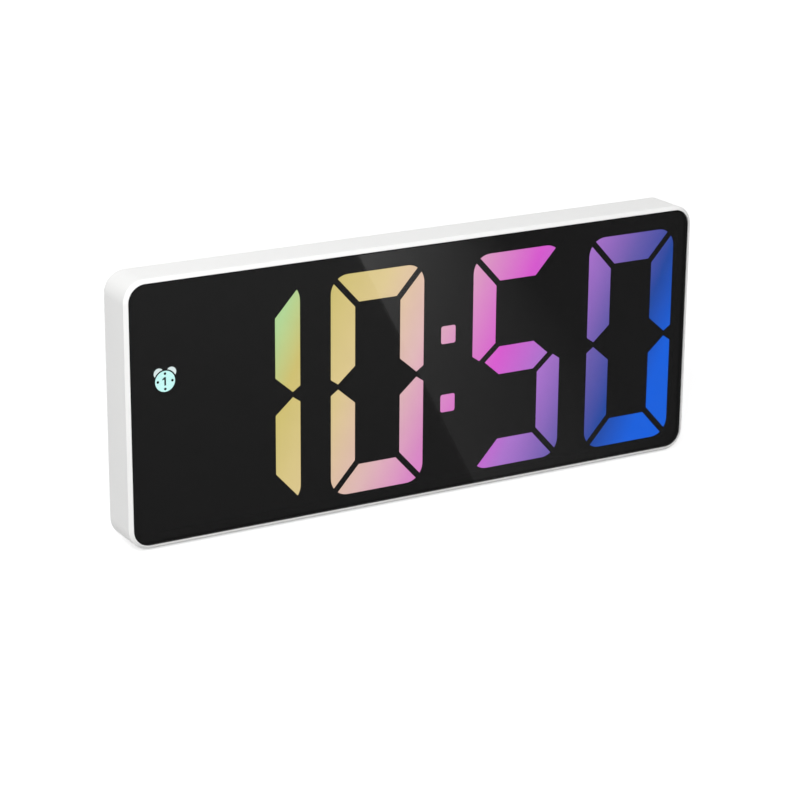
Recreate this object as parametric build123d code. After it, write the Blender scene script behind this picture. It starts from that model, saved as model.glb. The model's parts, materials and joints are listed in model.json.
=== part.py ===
from build123d import *
from math import atan2, cos, degrees, hypot, pi, sin, sqrt, tan, radians
import os

os.makedirs("parts", exist_ok=True)

# All sizes are in millimetres. X runs to the right as seen from the front, Y to the back, Z up.
# A depth is measured from the front edge of the rim towards the back.

# Digits of the display
digit_width = 26.4
digit_height = 56.9
upright_stroke = 6.8
level_stroke = 7.4
segment_gap = 1.6
digit_corner = 4.8
waist_inset = 2.5
notch_depth = 3.0
notch_half_height = 2.05
pair_pitch = 34.9
colon_pitch = 40.8
colon_dot_width = 4.2
colon_dot_height = 4.65
colon_dot_corner = 0.6
colon_spacing = 18.0

# Clear border between the digits and the edge of the lens
margin_left = 19.2
margin_right = 3.8
margin_top = 4.8
margin_bottom = 3.15

# Alarm icon left of the digits
icon_inset = 9.45
icon_drop = 24.7
icon_radius = 2.6
icon_bell_gap = 0.35
icon_bell_radius = 1.3
icon_bell_sink = 0.3
icon_bell_tilt = 38.0

# Lens and front housing
rim = 1.1
rim_bevel = 0.8
rear_edge_round = 0.8
lens_corner = 4.3
lens_thickness = 1.5
lens_recess = 0.1
lens_clearance = 0.1
lens_edge_break = 0.2
tape_thickness = 0.15
tape_overhang = 0.5
ledge_width = 2.0
ledge_thickness = 1.1
ledge_corner = 6.0
case_depth = 12.2
wall = 1.6
cavity_corner = 2.0
cover_lip = 1.0
cover_clearance = 0.15
cover_setback = 0.15

# Film, reflector and main board
film_gap = 0.05
film_thickness = 0.2
film_clearance = 0.15
reflector_border = 0.7
reflector_corner = 6.3
icon_well_margin = 0.6
board_thickness = 1.6
board_clearance = 0.4
stake_radius = 1.0
stake_clearance = 0.05
stake_head_radius = 1.7
stake_head_height = 0.8
stake_rise = 15.0
lamp_length = 1.6
lamp_width = 0.8
lamp_height = 0.7
lamp_offset = 4.2

# Cover screws and the bosses they join
boss_inset = 3.9
boss_radius = 2.2
post_radius = 2.0
screw_radius = 0.9
screw_hole_clearance = 0.05
screw_head_radius = 1.9
screw_head_height = 1.2
screw_head_break = 0.4
screw_head_clearance = 0.2
screw_seat_web = 0.25
screw_tip_gap = 0.3

# Key switches and buttons
switch_side = 6.0
switch_height = 1.9
plunger_radius = 1.6
plunger_rise = 0.5
plunger_depth = 0.8
plunger_clearance = 0.1
button_length = 11.0
button_height = 5.0
button_proud = 1.3
button_gap = 0.05
button_flange = 0.6
button_flange_width = 1.0
button_play = 0.1
button_clearance = 0.25
button_pitch = 16.0
button_edge_break = 0.4
cover_plate = 1.6

# Battery bay, plinth and door
cell_diameter = 10.5
cell_length = 44.5
cell_nub_radius = 1.9
cell_nub_length = 0.9
cell_edge_break = 0.5
cell_gap = 0.6
cell_play = 0.1
bay_side_play = 0.4
bay_wall = 1.2
part_space = 2.6
door_gap = 0.5
door_plate = 1.6
door_depth = 2.4
door_overlap = 1.4
door_clearance = 0.15
tongue_width = 1.2
tongue_thickness = 1.2
rail_thickness = 1.2
rail_clearance = 0.1
plinth_wall = 1.8
plinth_floor = 2.0
plinth_back = 1.8
plinth_corner = 6.0
plinth_draft = 4.0
plinth_step = 0.1
plinth_edge_round = 1.5
service_width = 42.0
grip_length = 13.0
grip_height = 9.0
grip_corner = 2.2
grip_depth = 0.6
grip_rib = 0.8
grip_rib_height = 0.45
grip_rib_inset = 0.9
grip_rib_count = 5

# Battery contacts
contact_plate = 0.4
contact_side = 8.6
contact_bump = 1.5
contact_bump_radius = 1.7
contact_gap = 0.05
contact_leg = 3.0
contact_leg_play = 0.2
spring_length = 4.6
spring_wire_radius = 0.35
spring_foot_radius = 3.2
spring_tip_radius = 2.1
spring_turns = 3

# Power board with socket and buzzer
power_board_width = 34.0
power_board_height = 28.0
power_board_thickness = 1.2
power_board_corner = 2.0
power_screw_inset = 3.4
pillar_radius = 2.3
usb_width = 8.94
usb_height = 3.26
usb_length = 9.6
usb_shell = 0.35
usb_base = 2.2
usb_tongue_width = 6.7
usb_tongue_thickness = 0.7
usb_tongue_length = 6.4
usb_setback = 0.1
usb_clearance = 0.2
usb_edge = 4.5
usb_rise = 7.0
buzzer_radius = 6.0
buzzer_height = 6.8
buzzer_edge_break = 0.6
buzzer_edge = 3.0
buzzer_rise = 15.0
sound_hole_radius = 0.8
sound_hole_pitch = 3.4
header_pins = 4
header_pitch = 2.54
header_height = 2.5
header_pin = 0.64
header_drop = 7.0

# Small parts on the main board
chip_length = 10.0
chip_width = 5.2
chip_height = 1.7
chip_pin_count = 8
chip_pin_pitch = 1.15
chip_pin_width = 0.45
chip_pin_length = 1.0
chip_pin_height = 0.6
chip_drop = 16.0
chip_edge = 8.0
crystal_radius = 1.0
crystal_length = 6.0
crystal_drop = 8.0
capacitor_length = 3.5
capacitor_width = 2.8
capacitor_height = 1.9
capacitor_count = 3
capacitor_pitch = 5.0
capacitor_drop = 14.0
resistor_length = 1.6
resistor_width = 0.8
resistor_height = 0.5
resistor_count = 8
resistor_pitch = 2.2
resistor_drop = 8.0

# Feet
foot_radius = 3.5
foot_proud = 0.6
foot_recess = 0.6
foot_clearance = 0.1
foot_edge_break = 0.25
front_foot_x = 60.0
rear_foot_x = 36.0

# Which segments are lit for each shown figure, a to g in the usual order
shown = ("1", "0", "5", "0")
lit_segments = {"0": "abcdef", "1": "bc", "5": "acdfg"}
digit_names = ("hour_tens", "hour_units", "minute_tens", "minute_units")

# Sizes that follow from the display
block_width = 2 * pair_pitch + colon_pitch + digit_width
lens_width = margin_left + block_width + margin_right
lens_height = margin_top + digit_height + margin_bottom
case_width = lens_width + 2 * rim
case_height = lens_height + 2 * rim
case_corner = lens_corner + rim
base_z = foot_proud
case_z = base_z + case_height / 2
lens_left = -lens_width / 2
lens_top = case_z + lens_height / 2
digit_z = lens_top - margin_top - digit_height / 2
digit_x = [lens_left + margin_left + digit_width / 2]
digit_x.append(digit_x[0] + pair_pitch)
digit_x.append(digit_x[1] + colon_pitch)
digit_x.append(digit_x[2] + pair_pitch)
colon_x = (digit_x[1] + digit_x[2]) / 2
icon_x = lens_left + icon_inset
icon_z = lens_top - icon_drop
icon_bell_reach = icon_radius + icon_bell_gap - icon_bell_sink
icon_reach = icon_bell_reach + icon_bell_radius
window_width = lens_width - 2 * ledge_width
window_height = lens_height - 2 * ledge_width

# Depths, from the lens to the back of the plinth
lens_back = lens_recess + lens_thickness
ledge_front = lens_back + tape_thickness
ledge_back = ledge_front + ledge_thickness
film_front = ledge_front + film_gap
film_back = film_front + film_thickness
plate_back = case_depth - cover_setback
plate_front = plate_back - cover_plate
flange_back = plate_front - button_play
flange_front = flange_back - button_flange
plunger_back = flange_front - button_gap
switch_back = plunger_back - plunger_rise
board_back = switch_back - switch_height
board_front = board_back - board_thickness
bay_floor_front = board_back + part_space
bay_floor_back = bay_floor_front + bay_wall
cell_front = bay_floor_back + cell_play
cell_back = cell_front + cell_diameter
rail_back = cell_back + door_gap
tongue_front = rail_back + rail_clearance
tongue_back = tongue_front + tongue_thickness
total_depth = tongue_front + door_depth
plinth_root = case_depth + plinth_step

# Places of the battery bay, seen from the front
positive_space = contact_plate + contact_bump + contact_gap
negative_space = contact_plate + spring_length + contact_gap
bay_length = cell_length + positive_space + negative_space
bay_height = 3 * cell_diameter + 2 * cell_gap + 2 * bay_side_play
back_width = 2 * plinth_wall + 2 * bay_wall + bay_length + bay_wall + service_width
draft_shift = (total_depth - plinth_root) * tan(radians(plinth_draft))
plinth_width = back_width + 2 * draft_shift
bay_x0 = -back_width / 2 + plinth_wall + bay_wall
bay_x1 = bay_x0 + bay_length
door_z0 = base_z + plinth_floor + door_clearance + tongue_width
bay_z0 = door_z0 + door_overlap
bay_z1 = bay_z0 + bay_height
door_z1 = bay_z1 + door_overlap
door_right = bay_x1 + bay_wall + door_overlap
plinth_top = door_z1 + tongue_width + door_clearance + plinth_wall + draft_shift
cell_z = [bay_z0 + bay_side_play + cell_diameter / 2 + i * (cell_diameter + cell_gap) for i in range(3)]
cell_mid = (cell_front + cell_back) / 2
button_z = (plinth_top + base_z + case_height - wall) / 2
button_x = [(i - 1.5) * button_pitch for i in range(4)]

# Places in the service compartment
service_x = bay_x1 + bay_wall + service_width / 2
service_z = (base_z + plinth_floor + plinth_top - plinth_wall - draft_shift) / 2
usb_back = total_depth - usb_setback
power_back = usb_back - usb_length
power_front = power_back - power_board_thickness
power_x0 = service_x - power_board_width / 2
power_x1 = service_x + power_board_width / 2
power_z0 = service_z - power_board_height / 2
power_z1 = service_z + power_board_height / 2
usb_x = power_x1 - usb_edge - usb_width / 2
usb_z = power_z0 + usb_rise
buzzer_x = power_x0 + buzzer_edge + buzzer_radius
buzzer_z = power_z0 + buzzer_rise
header_z = power_z1 - header_drop


def y_at(depth):
    """World Y of a depth measured from the front."""
    return depth - total_depth / 2


def slab(profile, front, back):
    """A profile drawn as seen from the front, extruded between two depths."""
    plane = Plane(origin=(0, y_at(back), 0), x_dir=(1, 0, 0), z_dir=(0, -1, 0))
    return extrude(plane * profile, back - front)


def rounded(width, height, radius, x=0.0, z=0.0):
    """A rounded rectangle at a place seen from the front."""
    return Pos(x, z) * RectangleRounded(width, height, radius)


def span(x0, x1, z0, z1):
    """A plain rectangle between two sides and two levels."""
    return Pos((x0 + x1) / 2, (z0 + z1) / 2) * Rectangle(x1 - x0, z1 - z0)


def disc(radius, x, z):
    """A round profile at a place seen from the front."""
    return Pos(x, z) * Circle(radius)


def corner_places():
    """The four places of the cover screws."""
    across = case_width / 2 - boss_inset
    rise = case_height / 2 - boss_inset
    return [(sx * across, case_z + sz * rise) for sx in (-1, 1) for sz in (-1, 1)]


def save(name, shape):
    """Write one node."""
    export_step(shape, f"parts/{name}.step")


def digit_profile():
    """The seven segments of one digit about its own centre."""
    half_w = digit_width / 2
    half_h = digit_height / 2
    opening_w = digit_width - 2 * upright_stroke
    opening_h = (digit_height - 3 * level_stroke) / 2
    rise = (opening_h + level_stroke) / 2
    shape = RectangleRounded(digit_width, digit_height, digit_corner)
    for side in (1, -1):
        shape -= Pos(0, side * rise) * Rectangle(opening_w, opening_h)
    mitre_length = 1.5 * hypot(upright_stroke, level_stroke)
    mitre_tilt = degrees(atan2(level_stroke, upright_stroke))
    waist_run = upright_stroke - waist_inset
    waist_length = hypot(waist_run, level_stroke / 2)
    waist_tilt = degrees(atan2(level_stroke / 2, waist_run))
    for sx in (1, -1):
        for sz in (1, -1):
            middle = (sx * (half_w - upright_stroke / 2), sz * (half_h - level_stroke / 2))
            strip = Rectangle(mitre_length, segment_gap)
            shape -= Pos(*middle) * Rot(0, 0, sx * sz * mitre_tilt) * strip
            strip = Pos(-waist_length / 4, 0) * Rectangle(1.5 * waist_length, segment_gap)
            turn = -waist_tilt if sx > 0 else 180 + waist_tilt
            middle = (sx * (half_w - waist_inset - waist_run / 2), sz * level_stroke / 4)
            shape -= Pos(*middle) * Rot(0, 0, turn if sz > 0 else -turn) * strip
        reach = half_w + segment_gap
        flare = notch_half_height * (notch_depth + segment_gap) / notch_depth
        notch = Polygon((half_w - notch_depth, 0), (reach, -flare), (reach, flare), align=None)
        shape -= notch if sx > 0 else mirror(notch, Plane.YZ)
    return shape


def segment_letter(face):
    """The usual letter of one segment, from where its face lies in the digit."""
    middle = face.center()
    if abs(middle.X) < digit_width / 4:
        if abs(middle.Y) < digit_height / 4:
            return "g"
        return "a" if middle.Y > 0 else "d"
    if middle.X > 0:
        return "b" if middle.Y > 0 else "c"
    return "f" if middle.Y > 0 else "e"


def icon_profile():
    """The alarm icon: a round face with two domed bells above it."""
    shape = disc(icon_radius, icon_x, icon_z)
    bell = disc(icon_bell_radius, 0, icon_bell_reach) - Circle(icon_radius + icon_bell_gap)
    for side in (1, -1):
        shape += Pos(icon_x, icon_z) * Rot(0, 0, side * icon_bell_tilt) * bell
    return shape


def colon_profile():
    """The two dots of the colon."""
    dots = [
        rounded(colon_dot_width, colon_dot_height, colon_dot_corner, colon_x, digit_z + s * colon_spacing / 2)
        for s in (1, -1)
    ]
    return dots[0] + dots[1]


def film_profile():
    """Outline of the printed film, which fills the opening inside the lens ledge."""
    width = window_width - 2 * film_clearance
    height = window_height - 2 * film_clearance
    return rounded(width, height, ledge_corner - film_clearance, 0, case_z)


def reflector_profile():
    """Outline of the reflector, just around the icon's well and the digits."""
    left = icon_x - icon_reach - icon_well_margin - reflector_border
    right = digit_x[3] + digit_width / 2 + reflector_border
    height = digit_height + 2 * reflector_border
    return rounded(right - left, height, reflector_corner, (left + right) / 2, digit_z)


def stake_places():
    """Where the reflector's pins pass through the main board."""
    columns = ((digit_x[0] + digit_x[1]) / 2, colon_x, (digit_x[2] + digit_x[3]) / 2)
    return [(x, digit_z + s * stake_rise) for x in columns for s in (1, -1)]


def make_display():
    """Film, windows, reflector and lamps."""
    digit = digit_profile()
    all_windows = Sketch()
    lamps = []
    lamp_front = board_front - lamp_height
    for name, figure, x in zip(digit_names, shown, digit_x):
        placed = Pos(x, digit_z) * digit
        all_windows += placed
        lit = []
        dark = []
        for face in digit.faces():
            letter = segment_letter(face)
            piece = slab(Pos(x, digit_z) * face, film_front, film_back)
            if letter in lit_segments[figure]:
                lit.append(piece)
            else:
                dark.append(piece)
            middle = face.center()
            level = letter in "adg"
            for s in (1, -1):
                lamp_x = x + middle.X + (s * lamp_offset if level else 0)
                lamp_z = digit_z + middle.Y + (0 if level else s * lamp_offset)
                outline = Pos(lamp_x, lamp_z) * Rectangle(lamp_length, lamp_width)
                lamps.append(slab(outline, lamp_front, board_front))
        save(f"{name}_lit_windows", Compound(lit))
        save(f"{name}_dark_windows", Compound(dark))
    colon = colon_profile()
    icon = icon_profile()
    save("colon_windows", Compound(slab(colon, film_front, film_back).solids()))
    save("alarm_icon_windows", Compound(slab(icon, film_front, film_back).solids()))
    save("printed_film", slab(film_profile() - all_windows - colon - icon, film_front, film_back))
    well = disc(icon_reach + icon_well_margin, icon_x, icon_z)
    reflector = slab(reflector_profile() - all_windows - colon - well, film_back, board_front)
    for x, z in stake_places():
        reflector += slab(disc(stake_radius, x, z), board_front, board_back)
        reflector += slab(disc(stake_head_radius, x, z), board_back, board_back + stake_head_height)
    save("reflector_frame", reflector)
    spots = [(colon_x, digit_z + s * colon_spacing / 2) for s in (1, -1)]
    spots.append((icon_x, icon_z))
    for x, z in spots:
        lamps.append(slab(Pos(x, z) * Rectangle(lamp_length, lamp_width), lamp_front, board_front))
    save("segment_lamps", Compound(lamps))


def foot_places():
    """Place across and depth of each foot: two under the tray, then two under the plinth."""
    front = case_depth / 2
    rear = (plinth_root + total_depth) / 2
    return [(s * front_foot_x, front) for s in (1, -1)] + [(s * rear_foot_x, rear) for s in (1, -1)]


def foot_shape(x, depth, radius, height):
    """An upright round pad or recess starting at the floor."""
    return Pos(x, y_at(depth), height / 2) * Cylinder(radius, height)


def make_housing():
    """The white front tray with its rim, lens seat and bosses."""
    body = slab(rounded(case_width, case_height, case_corner, 0, case_z), 0, case_depth)
    by_depth = body.faces().sort_by(Axis.Y)
    body = chamfer(by_depth[0].edges(), rim_bevel)
    body = fillet(body.faces().sort_by(Axis.Y)[-1].edges(), rear_edge_round)
    pocket_w = lens_width + 2 * lens_clearance
    pocket_h = lens_height + 2 * lens_clearance
    pocket = rounded(pocket_w, pocket_h, lens_corner + lens_clearance, 0, case_z)
    body -= slab(pocket, -1, ledge_front)
    body -= slab(rounded(window_width, window_height, ledge_corner, 0, case_z), ledge_front, ledge_back)
    inner = rounded(case_width - 2 * wall, case_height - 2 * wall, cavity_corner, 0, case_z)
    body -= slab(inner, ledge_back, plate_front)
    seat_w = case_width - 2 * cover_lip
    seat_h = case_height - 2 * cover_lip
    body -= slab(rounded(seat_w, seat_h, case_corner - cover_lip, 0, case_z), plate_front, case_depth + 1)
    for x, z in corner_places():
        body += slab(disc(boss_radius, x, z), ledge_back, board_front)
        side_x = -case_width / 2 + wall / 2 if x < 0 else case_width / 2 - wall / 2
        side_z = base_z + wall / 2 if z < case_z else base_z + case_height - wall / 2
        web = span(min(x, side_x), max(x, side_x), min(z, side_z), max(z, side_z))
        body += slab(web & rounded(case_width - wall, case_height - wall, case_corner - wall / 2, 0, case_z),
                     ledge_back, board_front)
    for x, z in corner_places():
        body -= slab(disc(screw_radius + screw_hole_clearance, x, z), ledge_back, board_front)
    for x, depth in foot_places()[:2]:
        body -= foot_shape(x, depth, foot_radius + foot_clearance, foot_proud + foot_recess)
    save("front_housing", body)


def make_lens():
    """The lens and the black tape that holds it."""
    lens = slab(rounded(lens_width, lens_height, lens_corner, 0, case_z), lens_recess, lens_back)
    lens = chamfer(lens.faces().sort_by(Axis.Y)[0].edges(), lens_edge_break)
    save("front_lens", lens)
    ring = rounded(lens_width, lens_height, lens_corner, 0, case_z)
    clear_width = window_width - 2 * tape_overhang
    clear_height = window_height - 2 * tape_overhang
    ring -= rounded(clear_width, clear_height, ledge_corner - tape_overhang, 0, case_z)
    save("lens_tape", slab(ring, lens_back, ledge_front))


def chip(x, z):
    """One flat chip with its two rows of pins, lying on the back of the main board."""
    body = slab(Pos(x, z) * Rectangle(chip_length, chip_width), board_back, board_back + chip_height)
    pins = []
    for i in range(chip_pin_count):
        pin_x = x + (i - (chip_pin_count - 1) / 2) * chip_pin_pitch
        for s in (1, -1):
            pin_z = z + s * (chip_width + chip_pin_length) / 2
            outline = Pos(pin_x, pin_z) * Rectangle(chip_pin_width, chip_pin_length)
            pins.append(slab(outline, board_back, board_back + chip_pin_height))
    return body, pins


def make_board():
    """The main board and the small parts on its back."""
    inset = wall + board_clearance
    outline = rounded(case_width - 2 * inset, case_height - 2 * inset, case_corner - wall, 0, case_z)
    chip_x = case_width / 2 - inset - chip_edge - chip_length / 2
    for x, z in corner_places():
        outline -= disc(screw_radius + screw_head_clearance, x, z)
    for x, z in stake_places():
        outline -= disc(stake_radius + stake_clearance, x, z)
    save("main_board", slab(outline, board_front, board_back))
    chip_z = button_z - chip_drop
    pins = []
    for name, side in (("controller_chip", -1), ("driver_chip", 1)):
        body, legs = chip(side * chip_x, chip_z)
        save(name, body)
        pins += legs
    save("chip_pins", Compound(pins))
    crystal = Rot(0, 90, 0) * Cylinder(crystal_radius, crystal_length)
    crystal_place = Pos(-chip_x, y_at(board_back + crystal_radius), chip_z - crystal_drop)
    save("quartz_crystal", crystal_place * crystal)
    blocks = []
    for i in range(capacitor_count):
        x = -chip_x + (i - (capacitor_count - 1) / 2) * capacitor_pitch
        outline = Pos(x, chip_z - capacitor_drop) * Rectangle(capacitor_length, capacitor_width)
        blocks.append(slab(outline, board_back, board_back + capacitor_height))
    save("board_capacitors", Compound(blocks))
    blocks = []
    for i in range(resistor_count):
        place = Pos(chip_x, chip_z - resistor_drop - i * resistor_pitch)
        outline = place * Rectangle(resistor_length, resistor_width)
        blocks.append(slab(outline, board_back, board_back + resistor_height))
    save("segment_resistors", Compound(blocks))


def make_buttons():
    """Key switches on the board and the four caps that press them."""
    bodies = []
    for name, x in zip(("mode", "set", "up", "down"), button_x):
        body = slab(Pos(x, button_z) * Rectangle(switch_side, switch_side), board_back, switch_back)
        hole_front = switch_back - 2 * plunger_depth
        body -= slab(disc(plunger_radius + plunger_clearance, x, button_z), hole_front, switch_back)
        bodies.append(body)
        plunger = slab(disc(plunger_radius, x, button_z), switch_back - plunger_depth, plunger_back)
        save(f"{name}_plunger", plunger)
        stem = Pos(x, button_z) * SlotOverall(button_length, button_height)
        cap = slab(stem, flange_back, plate_back + button_proud)
        cap = chamfer(cap.faces().sort_by(Axis.Y)[-1].edges(), button_edge_break)
        wide = button_length + 2 * button_flange_width
        tall = button_height + 2 * button_flange_width
        cap += slab(Pos(x, button_z) * SlotOverall(wide, tall), flange_front, flange_back)
        save(f"{name}_button", cap)
    save("key_switches", Compound(bodies))


def plinth_profile(inset, z0):
    """Outline of the plinth at its root, drawn about X = 0, from a level up to its top."""
    width = plinth_width - 2 * inset
    top = plinth_top - inset
    corner = plinth_corner - inset
    return rounded(width, top - z0, corner, 0, (top + z0) / 2)


def plinth_block(inset, z0, back):
    """A drafted block from the plinth's root to a depth, flat at the bottom."""
    plane = Plane(origin=(0, y_at(plinth_root), 0), x_dir=(-1, 0, 0), z_dir=(0, 1, 0))
    profile = plinth_profile(inset, z0 - 3 * plinth_corner)
    block = extrude(plane * profile, back - plinth_root, taper=plinth_draft)
    keep = span(-plinth_width, plinth_width, z0, plinth_top + plinth_corner)
    return block & slab(keep, plinth_root, back)


def plinth_body():
    """The outer form of the plinth with its back edges rounded."""
    block = plinth_block(0, base_z, total_depth)
    return fillet(block.faces().sort_by(Axis.Y)[-1].edges(), plinth_edge_round)


def channel(play):
    """Space of the battery door and its tongues, grown by a clearance."""
    left = -plinth_width
    right = door_right + play
    deep = rail_clearance if play else 0
    upper = slab(span(left, right, door_z0 - play, door_z1 + play), tongue_front - deep, total_depth + play)
    z0 = door_z0 - tongue_width - play
    z1 = door_z1 + tongue_width + play
    return upper + slab(span(left, right, z0, z1), tongue_front - deep, tongue_back + deep)


def make_door(outer):
    """The sliding battery door."""
    door = channel(0) & outer
    rim_z = door_overlap + tongue_width
    pocket = span(bay_x0, door_right - rim_z, door_z0 + rim_z, door_z1 - rim_z)
    door -= slab(pocket, tongue_front, total_depth - door_plate)
    middle_x = (bay_x0 + bay_x1) / 2
    middle_z = (door_z0 + door_z1) / 2
    grip = rounded(grip_length, grip_height, grip_corner, middle_x, middle_z)
    door -= slab(grip, total_depth - grip_depth, total_depth + 1)
    pitch = grip_length / (grip_rib_count + 1)
    for i in range(grip_rib_count):
        x = middle_x + (i - (grip_rib_count - 1) / 2) * pitch
        rib = Pos(x, middle_z) * Rectangle(grip_rib, grip_height - 2 * grip_rib_inset)
        door += slab(rib, total_depth - grip_depth, total_depth - grip_depth + grip_rib_height)
    save("battery_door", door)


def power_screw_places():
    """The two screws of the power board, at opposite corners."""
    across = power_board_width / 2 - power_screw_inset
    rise = power_board_height / 2 - power_screw_inset
    return [(service_x - across, service_z - rise), (service_x + across, service_z + rise)]


def sound_places():
    """A ring of sound holes around a middle one, over the buzzer."""
    places = [(buzzer_x, buzzer_z)]
    for i in range(6):
        turn = i * pi / 3
        places.append((buzzer_x + sound_hole_pitch * cos(turn), buzzer_z + sound_hole_pitch * sin(turn)))
    return places


def make_cover(outer):
    """The rear cover: plate, plinth, battery bay, pillars and holes."""
    edge = cover_lip + cover_clearance
    plate_w = case_width - 2 * edge
    plate_h = case_height - 2 * edge
    outline = rounded(plate_w, plate_h, case_corner - edge, 0, case_z)
    neck_z = base_z + edge
    cover = slab(outline, plate_front, plate_back)
    cover += slab(plinth_profile(0, neck_z - plinth_corner) & outline, plate_front, plinth_root)
    cover += outer
    hollow_z = neck_z + plinth_wall
    hollow = plinth_profile(plinth_wall, hollow_z - plinth_corner)
    hollow &= span(-plinth_width, plinth_width, hollow_z, plinth_top)
    cover -= slab(hollow, plate_front, plinth_root)
    cover -= plinth_block(plinth_wall, base_z + plinth_floor, total_depth - plinth_back)
    tub = span(bay_x0 - bay_wall, bay_x1 + bay_wall, bay_z0 - bay_wall, bay_z1 + bay_wall)
    cover += slab(tub, bay_floor_front, rail_back)
    rail_x1 = door_right + door_clearance + bay_wall
    rails = span(-plinth_width, rail_x1, base_z, plinth_top)
    rail_top = tongue_back + rail_clearance
    cover += slab(rails, rail_back - rail_thickness, rail_top) & outer
    cover -= slab(span(bay_x0, bay_x1, bay_z0, bay_z1), bay_floor_back, total_depth)
    cover -= channel(door_clearance)
    for x, side, row in ((bay_x0, 1, 0), (bay_x1, -1, 2)):
        cover -= slab(leg_outline(x, side, row, contact_leg_play), bay_floor_front, bay_floor_back)
    for x, z in power_screw_places():
        cover += slab(disc(pillar_radius, x, z), power_back, total_depth - plinth_back)
        cover -= slab(disc(screw_radius + screw_hole_clearance, x, z), power_back, total_depth - plinth_back)
    for x, z in sound_places():
        cover -= slab(disc(sound_hole_radius, x, z), total_depth - plinth_back, total_depth)
    mouth = Pos(usb_x, usb_z) * SlotOverall(usb_width + 2 * usb_clearance, usb_height + 2 * usb_clearance)
    cover -= slab(mouth, total_depth - plinth_back, total_depth)
    for x in button_x:
        hole = SlotOverall(button_length + 2 * button_clearance, button_height + 2 * button_clearance)
        cover -= slab(Pos(x, button_z) * hole, plate_front, plate_back)
    seat = plate_front + screw_seat_web
    for x, z in corner_places():
        cover += slab(disc(post_radius, x, z), board_back, plate_front)
        cover -= slab(disc(screw_radius + screw_head_clearance, x, z), board_back, plate_back)
        cover -= slab(disc(screw_head_radius + screw_head_clearance, x, z), seat, plate_back)
    for x, depth in foot_places()[2:]:
        cover -= foot_shape(x, depth, foot_radius + foot_clearance, foot_proud + foot_recess)
    save("rear_cover", cover)


def pan_screw(x, z, seat, tip):
    """A pan-head screw at a place seen from the front; the head lies beyond its seat, away from the tip."""
    outward = 1 if seat > tip else -1
    ends = sorted((seat, tip))
    shank = slab(disc(screw_radius, x, z), ends[0], ends[1])
    ends = sorted((seat, seat + outward * screw_head_height))
    cap = slab(disc(screw_head_radius, x, z), ends[0], ends[1])
    side = -1 if outward > 0 else 0
    cap = chamfer(cap.faces().sort_by(Axis.Y)[side].edges(), screw_head_break)
    return shank + cap


def make_screws():
    """Cover screws and power board screws."""
    seat = plate_front + screw_seat_web
    tip = ledge_back + screw_tip_gap
    screws = [pan_screw(x, z, seat, tip) for x, z in corner_places()]
    save("cover_screws", Compound(screws))
    tip = total_depth - plinth_back - screw_tip_gap
    screws = [pan_screw(x, z, power_front, tip) for x, z in power_screw_places()]
    save("power_board_screws", Compound(screws))


def make_power():
    """Power board, socket, buzzer and the header to the main board."""
    outline = rounded(power_board_width, power_board_height, power_board_corner, service_x, service_z)
    for x, z in power_screw_places():
        outline -= disc(screw_radius + screw_head_clearance, x, z)
    save("power_board", slab(outline, power_front, power_back))
    ring = SlotOverall(usb_width, usb_height)
    bore = SlotOverall(usb_width - 2 * usb_shell, usb_height - 2 * usb_shell)
    place = Pos(usb_x, usb_z)
    shell = slab(place * ring, power_back, usb_back)
    shell -= slab(place * bore, power_back + usb_base, usb_back)
    save("usb_socket_shell", shell)
    tongue = place * Rectangle(usb_tongue_width, usb_tongue_thickness)
    save("usb_socket_tongue", slab(tongue, power_back + usb_base, power_back + usb_base + usb_tongue_length))
    drum = slab(disc(buzzer_radius, buzzer_x, buzzer_z), power_back, power_back + buzzer_height)
    drum = chamfer(drum.faces().sort_by(Axis.Y)[-1].edges(), buzzer_edge_break)
    drum -= slab(disc(sound_hole_radius, buzzer_x, buzzer_z), power_back + buzzer_height / 2, total_depth)
    save("buzzer", drum)
    body = Pos(service_x, header_z) * Rectangle(header_pins * header_pitch, header_pitch)
    save("header_body", slab(body, board_back, board_back + header_height))
    pins = []
    for i in range(header_pins):
        x = service_x + (i - (header_pins - 1) / 2) * header_pitch
        pin = Pos(x, header_z) * Rectangle(header_pin, header_pin)
        pins.append(slab(pin, board_back + header_height, power_front))
    save("header_pins", Compound(pins))


def cell(x, z, side):
    """One cell lying along X; its nub points to the given side."""
    body_length = cell_length - cell_nub_length
    turn = Rot(0, 90, 0)
    can_x = x - side * cell_nub_length / 2
    can = Pos(can_x, y_at(cell_mid), z) * turn * Cylinder(cell_diameter / 2, body_length)
    can = chamfer(can.edges(), cell_edge_break)
    nub_x = x + side * body_length / 2
    nub = Pos(nub_x, y_at(cell_mid), z) * turn * Cylinder(cell_nub_radius, cell_nub_length)
    return can + nub


def contact(x, side, rows):
    """A contact plate against an end wall, reaching over one or two cells; side points into the bay."""
    z0 = cell_z[rows[0]] - contact_side / 2
    z1 = cell_z[rows[-1]] + contact_side / 2
    middle = x + side * contact_plate / 2
    return Pos(middle, y_at(cell_mid), (z0 + z1) / 2) * Box(contact_plate, contact_side, z1 - z0)


def leg_outline(x, side, row, play):
    """Outline, seen from the front, of the leg that joins an end contact to the main board."""
    middle = x + side * contact_plate / 2
    return Pos(middle, cell_z[row]) * Rectangle(contact_plate + 2 * play, contact_leg + 2 * play)


def contact_leg_shape(x, side, row):
    """The leg of an end contact, from its plate through the bay floor to the board."""
    return slab(leg_outline(x, side, row, 0), board_back, cell_mid)


def bump(x, side, row):
    """The raised button of a contact plate that meets a nub."""
    place = Pos(x + side * (contact_plate + contact_bump / 2), y_at(cell_mid), cell_z[row])
    return place * Rot(0, 90, 0) * Cylinder(contact_bump_radius, contact_bump)


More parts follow.
